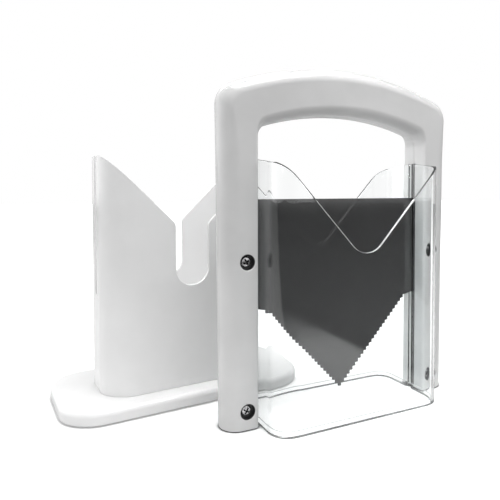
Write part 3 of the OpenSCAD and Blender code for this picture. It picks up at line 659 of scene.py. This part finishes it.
points, faces = wall(outline, seams, cradle_shape, WALL / 2, 0.45, grid)
n = len(points)
both = np.concatenate([points, points * (-1, 1, 1)])
cradle_wall = merged(both, faces + [tuple(i + n for i in f[::-1]) for f in faces])

knee_slope = (KNEE_H - TIP_H) / KNEE_X
blade_slope = math.degrees(math.atan(knee_slope))


def rest_course():
    """The rest's top from its middle up to the left end: a rounded V seen from the front."""
    lift = REST_APEX + REST_R / math.cos(math.radians(blade_slope))
    t = WALL / 2
    line = [(-(REST_R + t) * math.sin(a), lift - (REST_R + t) * math.cos(a), math.sin(a), math.cos(a))
            for a in np.radians(np.linspace(0, blade_slope, 24))]
    short_of_middle = 0.3
    end = CRADLE_W / 2 - WALL / 2 - short_of_middle
    a = math.radians(blade_slope)
    nx, nz = math.sin(a), math.cos(a)
    x0, z0 = line[-1][:2]
    line.append((-end, z0 + (end + x0) * math.tan(a), nx, nz))
    return [(-x, z, -sx, sz) for x, z, sx, sz in line][:0:-1] + line


rest_way, rest_at = course(rest_course())
rest_len, rest_in = rest_way[-1], CRADLE_D / 2 - WALL / 2
round_run = (CRADLE_R - WALL) / math.cos(math.radians(blade_slope))


def rest_half(side):
    """Half of the rest, in front of or behind the blade's slit, with corners that follow the wall's."""
    corner = []
    for a in np.radians(np.linspace(90, 0, 13)):
        corner.append((round_run * (1 - math.cos(a)), rest_in - (CRADLE_R - WALL / 2) * (1 - math.sin(a))))
    line = [(u, SLIT / 2) for u in np.linspace(0, rest_len, 42)]
    line += [(rest_len - u, y) for u, y in corner[::-1]]
    line += [(u, rest_in) for u in np.linspace(rest_len - round_run, round_run, 24)[1:-1]]
    line += [(u, y) for u, y in corner]
    line = np.array(line)
    keep = np.concatenate([[True], np.linalg.norm(np.diff(line, axis=0), axis=1) > 1e-6])
    line = line[keep]
    grid = [(u, y) for u in np.linspace(3, rest_len - 3, 40) for y in (7, 14) if y < rest_in - 3]

    def shape(u, y, w):
        x, z, nx, nz = rest_at(u)
        return np.stack([x + nx * w, side * y, PLATE_TOP + z + nz * w], 1)
    return wall(line, [False] * len(line), shape, WALL / 2, 0.4, grid)


def post(x, y):
    """Screw post with its bore, standing on the plate."""
    bore, foot, top = SHANK_R + 0.02, 0.3, 0.5
    profile = [(0, BORE_DEPTH), (bore, BORE_DEPTH), (bore, foot), (bore + foot, 0), (POST_R - foot, 0),
               (POST_R, foot), (POST_R, POST_H - top), (POST_R - top, POST_H), (0, POST_H)]
    points, faces = turned(profile, 32)
    return points + (x, y, PLATE_TOP), faces


def bar(p, q, thick, low, high):
    """Upright rib between two points seen from above, with rounded edges."""
    p, q = np.array(p, float), np.array(q, float)
    run = np.linalg.norm(q - p)
    e = (q - p) / run
    out = np.array([-e[1], e[0]])
    line = [(0, low), (run, low), (run, high), (0, high)]

    def shape(u, z, w):
        return np.stack([p[0] + e[0] * u + out[0] * w, p[1] + e[1] * u + out[1] * w, z], 1)
    return wall(line, [False] * 4, shape, thick / 2, 0.3, [], support=0.3, steps=2)


parts = [cradle_wall, rest_half(-1), rest_half(1)]
# two webs run from inside each post to the middle of the wall's corner
in_post, bend_r = 3, CRADLE_R - WALL / 2
round_x, round_y = CRADLE_W / 2 - CRADLE_R, CRADLE_D / 2 - CRADLE_R
web_x = round_x + math.sqrt(bend_r ** 2 - (BASE_SCREW_Y - round_y) ** 2)
web_y = round_y + math.sqrt(bend_r ** 2 - (BASE_SCREW_X - round_x) ** 2)
corners = [(sx, sy) for sx in (-1, 1) for sy in (-1, 1)]
for sx, sy in corners:
    x, y = sx * BASE_SCREW_X, sy * BASE_SCREW_Y
    parts.append(post(x, y))
    for p, q in (((x + sx * in_post, y), (sx * web_x, y)), ((x, y + sy * in_post), (x, sy * web_y))):
        parts.append(bar(p, q, WALL, PLATE_TOP, PLATE_TOP + POST_H))
cradle = mesh_object("bagel_cradle", parts, in_base, BASE_ABS)


# Base plate: a tray turned upside down

def plate_ring(inset, z):
    plan = rounded_plan(PLATE_W - 2 * inset, PLATE_D - 2 * inset, PLATE_R - inset, 16)
    return np.column_stack([plan, np.full(len(plan), z)])


foot_edge, top_line = 0.5, PLATE_TOP - PLATE_EDGE
rows = [(foot_edge * (1 - math.sin(t)), PLATE_LOW + foot_edge * (1 - math.cos(t)))
        for t in np.radians(np.linspace(0, 90, 4))]
rows += [(0, PLATE_LOW + 1.2), (0, top_line - 0.6)]
rows += [(PLATE_EDGE * (1 - math.cos(t)), top_line + PLATE_EDGE * math.sin(t))
         for t in np.radians(np.linspace(0, 90, 13))]
rows += [(PLATE_EDGE + 0.8, PLATE_TOP), (PLATE_EDGE + 6, PLATE_TOP)]
rim, ceiling = SKIN + PLATE_EDGE / 2, PLATE_TOP - SKIN
under = [(rim - 0.4, PLATE_LOW), (rim, PLATE_LOW + 0.4), (rim, ceiling - 0.8), (rim + 0.8, ceiling),
         (rim + 6, ceiling)]
plate_parts = [loft([plate_ring(i, z) for i, z in under[::-1] + rows])]
in_ceiling = ceiling + 0.2


def collar(x, y, outer, bore):
    """Ring that stands down from the plate's ceiling."""
    low, high, edge = PLATE_LOW, in_ceiling, 0.2
    profile = [(bore, high), (bore, low + edge), (bore + edge, low), (outer - edge, low), (outer, low + edge),
               (outer, high)]
    ring = [np.array([(r * math.cos(a), r * math.sin(a), z) for a in np.linspace(0, 2 * math.pi, 41)[:-1]])
            for r, z in profile]
    points, faces = loft(ring + [ring[0]], caps=False)
    points, faces = merged(points, faces)
    return points + (x, y, 0), faces


foot_places = [(sx * (PLATE_W / 2 - FOOT_INSET), sy * (PLATE_D / 2 - FOOT_INSET), 0) for sx, sy in corners]
screw_places = [(sx * BASE_SCREW_X, sy * BASE_SCREW_Y, ceiling) for sx, sy in corners]
foot_gap, head_gap, seat_r = 0.1, 0.25, FOOT_R + 0.5
for foot_at, (x, y, _) in zip(foot_places, screw_places):
    plate_parts.append(collar(*foot_at[:2], FOOT_R + SKIN, FOOT_R + foot_gap))
    points, faces = turned([(0, FOOT_H), (seat_r, FOOT_H), (seat_r, in_ceiling), (0, in_ceiling)], 40)
    plate_parts.append((points + foot_at, faces))
    plate_parts.append(collar(x, y, HEAD_R + head_gap + SKIN, HEAD_R + head_gap))


# Repeated pieces: one Geometry Nodes tree that copies a shape to points, turned and stretched at each

def copies(name, shape, places, turns, finish, stretch=None):
    """Copies of a mesh object as one mesh."""
    mesh = bpy.data.meshes.new(name)
    mesh.from_pydata([tuple(p) for p in places], [], [])
    for key, rows in (("turn", turns), ("stretch", stretch or [(1, 1, 1)] * len(places))):
        data = mesh.attributes.new(key, "FLOAT_VECTOR", "POINT")
        data.data.foreach_set("vector", np.array(rows, float).reshape(-1))
    obj = linked(name, mesh)
    tree = bpy.data.node_groups.new(name + "_copies", "GeometryNodeTree")
    new_socket = tree.interface.new_socket
    new_socket("Geometry", in_out="INPUT", socket_type="NodeSocketGeometry")
    inputs = {"Piece": new_socket("Piece", in_out="INPUT", socket_type="NodeSocketObject").identifier,
              "Size": new_socket("Size", in_out="INPUT", socket_type="NodeSocketFloat").identifier}
    new_socket("Geometry", in_out="OUTPUT", socket_type="NodeSocketGeometry")
    given = add(tree, "NodeGroupInput")
    piece = add(tree, "GeometryNodeObjectInfo", Object=given.outputs["Piece"])
    angle, scale = (add(tree, "GeometryNodeInputNamedAttribute", {"data_type": "FLOAT_VECTOR"}, Name=key)
                    for key in ("turn", "stretch"))
    sized = add(tree, "ShaderNodeVectorMath", {"operation": "SCALE"}, Vector=scale.outputs["Attribute"],
                Scale=given.outputs["Size"])
    put = add(tree, "GeometryNodeInstanceOnPoints", Points=given.outputs["Geometry"],
              Instance=piece.outputs["Geometry"], Rotation=angle.outputs["Attribute"], Scale=sized.outputs[0])
    real = add(tree, "GeometryNodeRealizeInstances", Geometry=put.outputs["Instances"])
    painted = add(tree, "GeometryNodeSetMaterial", Geometry=real.outputs["Geometry"], Material=finish)
    add(tree, "NodeGroupOutput", Geometry=painted.outputs["Geometry"])
    modifier = obj.modifiers.new("copies", "NODES")
    modifier.node_group = tree
    modifier[inputs["Piece"]] = shape
    modifier[inputs["Size"]] = 1.0
    baked(obj)
    bpy.data.objects.remove(shape)
    return obj


def near_origin(p):
    return np.asarray(p, float) * MM


in_rim = 3
half_rib = PLATE_D / 2 - in_rim
rib = mesh_object("rib", [bar((-half_rib, 0), (half_rib, 0), SKIN, PLATE_LOW, in_ceiling)], near_origin, BASE_ABS)
long_way = (PLATE_W / 2 - in_rim) / half_rib
rows = [((k * RIB_PITCH, 0, 0), (0, 0, math.pi / 2), (1, 1, 1)) for k in range(-3, 4)]
rows += [((0, y, 0), (0, 0, 0), (long_way, 1, 1)) for y in (-BASE_SCREW_Y, 0, BASE_SCREW_Y)]
places, turns, stretches = zip(*rows)
ribs = copies("base_plate_ribs", rib, in_base(places), turns, BASE_ABS, stretches)
plate = mesh_object("base_plate_tray", plate_parts, in_base, BASE_ABS)


def screw(name, length):
    """Pan-head screw with a tapered cross recess, standing on its head's seat at the origin."""
    r, h = HEAD_R, HEAD_H
    head = [(r - 0.15, 0), (r, 0.12), (r, 0.5), (r * 0.985, 0.95), (r * 0.94, 1.4), (r * 0.85, 1.8), (r * 0.7, 2.1),
            (r * 0.45, 2.31), (0, h)]
    point, pitch, root = 2.2, 1.25, SHANK_R - 0.3
    profile = [(0, -length), (0.5, 0.5 - length)]
    for k in range(int((length - point) / pitch)):
        z = -length + point + k * pitch
        profile += [(root, z), (root, z + 0.45), (SHANK_R, z + 0.8), (root, z + 1.15)]
    profile += [(SHANK_R, -0.5), (SHANK_R, 0)] + head
    body = mesh_object(name, [turned(profile, 40)], near_origin, STEEL)

    def cross(wide, reach, z):
        q = [(wide, wide), (wide, reach), (-wide, reach), (-wide, wide), (-reach, wide), (-reach, -wide),
             (-wide, -wide), (-wide, -reach), (wide, -reach), (wide, -wide), (reach, -wide), (reach, wide)]
        return np.array([(x, y, z) for x, y in q], float)
    recess = loft([cross(0.4, 1.0, h - 1.7), cross(0.55, 2.1, h - 0.6), cross(0.65, 2.6, h + 0.3)])
    cut(body, [recess], near_origin, STEEL)
    return body


def euler(*turns):
    """Euler angles of turns about named axes, the first one nearest the piece."""
    m = Matrix.Identity(3)
    for angle, axis in turns:
        m = Matrix.Rotation(math.radians(angle), 3, axis) @ m
    return tuple(m.to_euler())


places = in_unit([(x, SUNK_DEPTH - FRAME_HALF_D, z) for x, z in frame_screw_spots])
turns = [euler((a, "Z"), (90, "X"), (math.degrees(UNIT_TURN), "Z")) for a in (28, 61, 12, 40)]
frame_screws = copies("frame_screws", screw("frame_screw", FRAME_SCREW_L), places, turns, STEEL)
turns = [euler((a, "Z"), (180, "X")) for a in (15, 70, 33, 52)]
base_screws = copies("base_screws", screw("base_screw", BASE_SCREW_L), in_base(screw_places), turns, STEEL)
# a foot: rounded edge, and a shallow dish in its middle
pad = [(0, 0.15), (3.5, 0.15), (4.2, 0), (FOOT_R - 0.5, 0), (FOOT_R - 0.15, 0.15), (FOOT_R, 0.5), (FOOT_R, FOOT_H),
       (0, FOOT_H)]
foot = mesh_object("foot", [turned(pad, 40)], near_origin, RUBBER)
feet = copies("rubber_feet", foot, in_base(foot_places), [(0, 0, 0)] * len(foot_places), RUBBER)


# Shields: clear sheets bent round three sides, with a flange at each end for the frame

# Radius of the flange's bend, and how much a corner takes of each side
BEND, CORNER_RUN = 1.2, 16.4
wall_mid_x, wall_mid_y = SHIELD_HALF - SHIELD_WALL / 2, SHIELD_REACH - SHIELD_WALL / 2
flange_mid = (FLANGE_T + BLADE_T) / 2


def shield_course():
    """The middle of the front shield's wall, from the left flange round to the right one."""
    x1, y1 = wall_mid_x, flange_mid
    half = [(-(GAP_HALF + GRIP), -y1, 0, -1)]
    for a in np.radians(np.linspace(90, 0, 31)):
        half.append((-x1 - BEND + BEND * math.cos(a), -y1 - BEND + BEND * math.sin(a), -math.cos(a), -math.sin(a)))
    # the corner's curvature comes and goes gently, so the sheet shows no line where it starts to bend
    s = (np.arange(180) + 0.5) / 180
    turn = np.pi / 2 * (3 * s ** 2 - 2 * s ** 3)
    step = CORNER_RUN / np.cos(turn).sum()
    x, y = -x1, CORNER_RUN - wall_mid_y
    half.append((x, y, -1, 0))
    for a in turn:
        x, y = x + step * math.sin(a), y - step * math.cos(a)
        half.append((x, y, -math.cos(a), -math.sin(a)))
    return half + [(-x, y, -nx, ny) for x, y, nx, ny in half[::-1]]


shield_way, shield_at = course(shield_course())
span = shield_way[-1]
bend_start = GAP_HALF + GRIP - wall_mid_x - BEND
bend_end = bend_start + BEND * math.pi / 2
rim_end = bend_end + 0.7
corner_start = bend_end + wall_mid_y - CORNER_RUN - flange_mid - BEND
corner_end = span / 2 - (wall_mid_x - CORNER_RUN)
notch_apex = NOTCH_FLOOR + NOTCH_R - NOTCH_R / math.cos(math.radians(NOTCH_SLOPE))


def shield_top(x, y):
    """Height of a shield's top: a V with wide shoulders over the front, a gentle fall along the sides."""
    x = np.abs(x)
    slope = notch_height(x, notch_apex, NOTCH_SLOPE, SHIELD_H + NOTCH_RISE, NOTCH_TOP_R)
    dip = NOTCH_FLOOR + NOTCH_R - np.sqrt(np.maximum(NOTCH_R ** 2 - x * x, 0))
    front = np.where(x < NOTCH_R * math.sin(math.radians(NOTCH_SLOPE)), dip, slope)
    side = SHIELD_H - SIDE_FALL * np.clip((np.abs(y) - stack) / (SHIELD_REACH - stack), 0, 1)
    side_from, blend = SHIELD_HALF - SHIELD_WALL - 1.0, 1.5
    return front + (side - front) * np.clip((x - side_from) / blend, 0, 1)


def shield(name, side):
    ends = [0.0, bend_start, bend_end, rim_end, corner_start, corner_end]
    counts = [6, 8, 1, 6, 26]
    columns = [0.0]
    for a, b, k in zip(ends, ends[1:], counts):
        columns += list(np.linspace(a, b, k + 1)[1:])
    columns += list(np.linspace(corner_end, span - corner_end, 41)[1:])
    columns += [span - u for u in columns[::-1] if u < corner_end - 1e-9]
    columns = np.array(columns)
    tops = shield_top(*shield_at(columns)[:2])
    fine = np.unique(np.concatenate([columns, np.linspace(corner_start, span - corner_start, 180)]))
    fine = fine[np.concatenate([[True], np.diff(fine) > 0.05])]
    line = [(u, 0.0) for u in fine]
    line += [(u, float(z)) for u, z in zip(fine[::-1], shield_top(*shield_at(fine[::-1])[:2]))]
    grid, guides = [], []
    for u, top in zip(columns[1:-1], tops[1:-1]):
        grid += [(u, z) for z in (1.8, *np.arange(5.5, top - 3, 8.0))]
    # the rim's step runs between two lines of points
    inner = [u for u in columns if bend_end - 1e-6 <= u <= span - bend_end + 1e-6]
    for a, b in zip(inner, inner[1:]):
        guides += [((a, z), (b, z)) for z in (RIM_H - 0.1, RIM_H + 0.15)]
    thin = FLANGE_T / SHIELD_WALL

    def shape(u, z, w):
        x, y, nx, ny = shield_at(u)
        from_end = np.minimum(u, span - u)
        thick = thin + (1 - thin) * np.clip((from_end - bend_start) / (bend_end - bend_start), 0, 1)
        rim = np.where((w < 0) & (z < RIM_H), RIM_T, 0) * np.clip((from_end - bend_end) / (rim_end - bend_end), 0, 1)
        across = w * thick - rim
        x1, y1 = x + nx * across, y + ny * across
        lean = leaning(z, 80, 110, shield_top(x1, y1) - shield_top(x, y)) * (from_end > corner_start - 1e-6)
        return np.stack([x1, -side * y1, z + lean], 1)
    part = wall(line, [False] * len(line), shape, SHIELD_WALL / 2, 0.3, grid, support=0.4, guides=guides)

    def on_edge(face):
        """Whether a face looks up or down rather than sideways."""
        across = np.cross(face[1] - face[0], face[2] - face[0])
        return abs(across[2]) > 0.4 * np.linalg.norm(across)
    # faces that look up or down take the edge's painted light and shade
    return mesh_object(name, [part], in_unit, ACRYLIC, 50, ACRYLIC_EDGE_PAINTED_LIGHT, on_edge)


shield_front, shield_back = shield("clear_shield_front", -1), shield("clear_shield_back", 1)


# Blade: a V with scalloped teeth

def teeth_line(side):
    """Teeth from the tip up to the knee."""
    rise, points = KNEE_H - TIP_H, 8
    run = math.hypot(KNEE_X, rise)
    e, up = np.array([KNEE_X, rise]) / run, np.array([-rise, KNEE_X]) / run
    pitch = run / (TEETH + 0.5)
    rows = []
    for i in range(TEETH):
        for j in range(points):
            q = np.array([0, TIP_H]) + e * pitch * (i + 0.5 + j / points)
            q = q + up * TOOTH * math.sin(math.pi * j / points) ** 2
            rows.append((side * q[0], q[1]))
    return rows


reach = GAP_HALF + GRIP
line = teeth_line(1) + [(KNEE_X, KNEE_H), (GAP_HALF, BLADE_CORNER), (reach, BLADE_CORNER), (reach, BLADE_TOP),
                        (-reach, BLADE_TOP), (-reach, BLADE_CORNER), (-GAP_HALF, BLADE_CORNER), (-KNEE_X, KNEE_H)]
line += teeth_line(-1)[::-1]
part = wall(line, [False] * len(line), lambda u, z, w: np.stack([u, w, z], 1), BLADE_T / 2, 0.16, [], support=0.1)
blade = mesh_object("serrated_blade", [part], in_unit, BLADE)


def named(start):
    return [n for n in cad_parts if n.startswith(start)]


# Which body each piece rides on, its slot, and the nodes that it replaces
for piece, body, name, nodes in (
        (frame_front, "blade_unit", "white_plastic", ["frame_front"]),
        (frame_back, "blade_unit", "white_plastic", ["frame_back"]),
        (shield_front, "blade_unit", "clear_plastic", ["shield_front"]),
        (shield_back, "blade_unit", "clear_plastic", ["shield_back"]),
        (blade, "blade_unit", "coated_blade", ["blade"]),
        (frame_screws, "blade_unit", "screw_steel", named("frame_screw")),
        (cradle, "base", "white_plastic", ["cradle"]),
        (plate, "base", "white_plastic", ["base_plate"]),
        (ribs, "base", "white_plastic", []),
        (base_screws, "base", "screw_steel", named("base_screw")),
        (feet, "base", "foot_rubber", named("foot"))):
    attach(piece, body)
    if nodes:
        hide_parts(*nodes)


# Stage and light, in metres

WHITE = (1, 1, 1, 1)
# the floor lies a hair low, clear of what stands on it
FLOOR_HALF, FLOOR_Z = 6, -0.0003
floor_mesh = bpy.data.meshes.new("floor")
floor_mesh.from_pydata([(sx * FLOOR_HALF, sy * FLOOR_HALF, FLOOR_Z)
                        for sx, sy in ((-1, -1), (1, -1), (1, 1), (-1, 1))], [], [(0, 1, 2, 3)])
floor = linked("floor", floor_mesh)


def seen_straight(t):
    """1 for what the camera sees, also through something clear, and 0 for what only lights or is mirrored."""
    path = add(t, "ShaderNodeLightPath").outputs
    bounces = add(t, "ShaderNodeMath", {"operation": "ADD"}, i0=path["Diffuse Depth"], i1=path["Glossy Depth"])
    none = add(t, "ShaderNodeMath", {"operation": "LESS_THAN"}, i0=bounces, i1=0.5)
    through = add(t, "ShaderNodeMath", {"operation": "MULTIPLY"}, i0=path["Is Transmission Ray"], i1=none)
    return add(t, "ShaderNodeMath", {"operation": "MAXIMUM"}, i0=path["Is Camera Ray"], i1=through)


def ends_in(t, output, lighting, seen):
    """The tree's end: one shader for what only lights or is mirrored, another for what is seen."""
    both = add(t, "ShaderNodeMixShader", i0=seen_straight(t), i1=lighting, i2=seen)
    add(t, output, Surface=both)


m, t, where = material("white_sweep")
floor_mesh.materials.append(m)
# places to the right of the blade unit's middle, and behind it
c, s = math.cos(UNIT_TURN), math.sin(UNIT_TURN)
right = add(t, "ShaderNodeVectorMath", {"operation": "DOT_PRODUCT"}, i0=where, i1=(c, s, 0)).outputs["Value"]
right = add(t, "ShaderNodeMath", {"operation": "SUBTRACT"}, i0=right, i1=(c * UNIT_AT[0] + s * UNIT_AT[1]) * MM)
behind = add(t, "ShaderNodeVectorMath", {"operation": "DOT_PRODUCT"}, i0=where, i1=(-s, c, 0)).outputs["Value"]
behind = add(t, "ShaderNodeMath", {"operation": "SUBTRACT"}, i0=behind, i1=(-s * UNIT_AT[0] + c * UNIT_AT[1]) * MM)
# mirrored or lighting, the paper ends in front, nearer on the unit's right, and what is beyond is dark
past_side = add(t, "ShaderNodeMapRange", SMOOTH, Value=right, From_Min=0.082, From_Max=0.098)
near_front = add(t, "ShaderNodeMapRange", SMOOTH, Value=behind, From_Min=-0.012, From_Max=-0.045)
beside = add(t, "ShaderNodeMath", {"operation": "MULTIPLY"}, i0=past_side, i1=near_front)
far_front = add(t, "ShaderNodeMapRange", SMOOTH, Value=behind, From_Min=-0.18, From_Max=-0.28)
off = add(t, "ShaderNodeMath", {"operation": "MAXIMUM"}, i0=far_front, i1=beside)
colour = add(t, "ShaderNodeMix", COLOURS, i0=off, i6=linear("d6d6d6"), i7=linear("545454")).outputs[2]
paper = add(t, "ShaderNodeBsdfDiffuse", Color=colour)
# painted shadow: a thin dark line where something stands on the paper, from an occlusion test, darker at the
# uprights, faint under the base
aside = add(t, "ShaderNodeMath", {"operation": "ABSOLUTE"}, i0=right)
deeper_shadow_at_uprights = add(t, "ShaderNodeMapRange", SMOOTH, Value=aside, From_Min=0.067, From_Max=0.072, To_Max=0.15)
occlusion_shade = add(t, "ShaderNodeAmbientOcclusion", {"samples": 8}, Distance=4 * MM).outputs["AO"]
occlusion_shade = add(t, "ShaderNodeMath", {"operation": "SUBTRACT"}, i0=occlusion_shade, i1=deeper_shadow_at_uprights)
off_unit = add(t, "ShaderNodeMapRange", SMOOTH, Value=occlusion_shade, From_Min=0.2, From_Max=0.65)
back = add(t, "ShaderNodeSeparateXYZ", Vector=where).outputs["Y"]
off_base = add(t, "ShaderNodeMapRange", SMOOTH, Value=back, From_Min=-0.0085, From_Max=-0.0045, To_Max=0.8)
out_of_painted_shadow = add(t, "ShaderNodeMath", {"operation": "MAXIMUM"}, i0=off_unit, i1=off_base)
colour = add(t, "ShaderNodeMix", COLOURS, i0=out_of_painted_shadow, i6=linear("1c1c1c"), i7=linear("f2f2f2")).outputs[2]
white = add(t, "ShaderNodeBsdfDiffuse", Color=colour)
# the sweep turns to plain white away from the object
away = add(t, "ShaderNodeVectorMath", {"operation": "LENGTH"}, i0=where).outputs["Value"]
plain = add(t, "ShaderNodeMapRange", SMOOTH, Value=away, From_Min=0.2, From_Max=0.8, To_Min=0.25)
strength = add(t, "ShaderNodeMath", {"operation": "MULTIPLY"}, i0=plain, i1=out_of_painted_shadow)
glow = add(t, "ShaderNodeEmission", Color=WHITE, Strength=strength)
lit = add(t, "ShaderNodeAddShader", i0=white, i1=glow)
ends_in(t, "ShaderNodeOutputMaterial", paper, lit)

world = bpy.data.worlds.new("studio")
bpy.context.scene.world = world
world.use_nodes = True
t = world.node_tree
t.nodes.clear()
way_out = add(t, "ShaderNodeTexCoord").outputs["Generated"]
# Soft panels of the room: degrees clockwise from the back, degrees up, brightness; and how fast they fade
PANELS = ((0, 8, 0.5), (45, 8, 0.3), (90, 8, 0.5), (135, 8, 1.0), (180, 8, 0.36), (225, 8, 0.48), (270, 8, 0.8),
          (315, 8, 2.1), (135, 48, 0.7), (180, 48, 0.35))
PANEL_FALLOFF = 6.0
level = 0.0
for around, up, brightness in PANELS:
    a, e = math.radians(around), math.radians(up)
    middle_way = (math.sin(a) * math.cos(e), math.cos(a) * math.cos(e), math.sin(e))
    facing = add(t, "ShaderNodeVectorMath", {"operation": "DOT_PRODUCT"}, i0=way_out, i1=middle_way).outputs["Value"]
    facing = add(t, "ShaderNodeMath", {"operation": "MAXIMUM"}, i0=facing, i1=0.0)
    panel = add(t, "ShaderNodeMath", {"operation": "POWER"}, i0=facing, i1=PANEL_FALLOFF)
    panel = add(t, "ShaderNodeMath", {"operation": "MULTIPLY"}, i0=panel, i1=brightness)
    level = add(t, "ShaderNodeMath", {"operation": "ADD"}, i0=level, i1=panel)
room = add(t, "ShaderNodeBackground", Color=WHITE, Strength=level)
white = add(t, "ShaderNodeBackground", Color=WHITE, Strength=1.0)
ends_in(t, "ShaderNodeOutputWorld", room, white)

# Lamps: place, aim, size, watts, degrees of spread. Two light everything; two narrow ones reach the arch from
# above, and the right upright's inner side
for name, at, aim, size, power, wide in (
        ("overhead", (0.05, -0.15, 1.2), (0.05, 0, 0), (0.7, 0.7), 11.6, 180),
        ("from_behind", (0.1, 1.0, 1.2), (0, 0, 0.1), (1.0, 0.5), 7.6, 180),
        ("on_arch", (0.035, -0.03, 1.3), (0.035, -0.03, 0.2), (0.06, 0.06), 0.024, 12),
        ("on_inner_side", (-1.0, -0.72, 0.22), (0.118, -0.062, 0.11), (0.04, 0.3), 0.022, 8)):
    lamp = bpy.data.lights.new(name, "AREA")
    lamp.shape, lamp.size, lamp.size_y = "RECTANGLE", size[0], size[1]
    lamp.energy, lamp.spread = power, math.radians(wide)
    holder = linked(name, lamp)
    holder.location = at
    holder.rotation_euler = (Vector(aim) - Vector(at)).to_track_quat("-Z", "Y").to_euler()

# Camera: its place, the degrees it looks clockwise from the back and down, and its lens, fitted to the photograph

CAMERA_AT, YAW, PITCH = (-0.18747, -0.35503, 0.15628), 31.247, 1.806
LENS, SHIFT = 37.387, (-0.07006, -0.08634)
scene = bpy.context.scene
scene.view_settings.view_transform = "Standard"
cam = bpy.data.cameras.new("camera")
cam.lens, cam.sensor_width = LENS, 36.0
cam.shift_x, cam.shift_y = SHIFT
cam.clip_start, cam.clip_end = 0.01, 50
camera = linked("camera", cam)
yaw, pitch = math.radians(YAW), math.radians(PITCH)
camera.location = CAMERA_AT
look = Vector((math.sin(yaw) * math.cos(pitch), math.cos(yaw) * math.cos(pitch), -math.sin(pitch)))
camera.rotation_euler = look.to_track_quat("-Z", "Y").to_euler()
scene.camera = camera
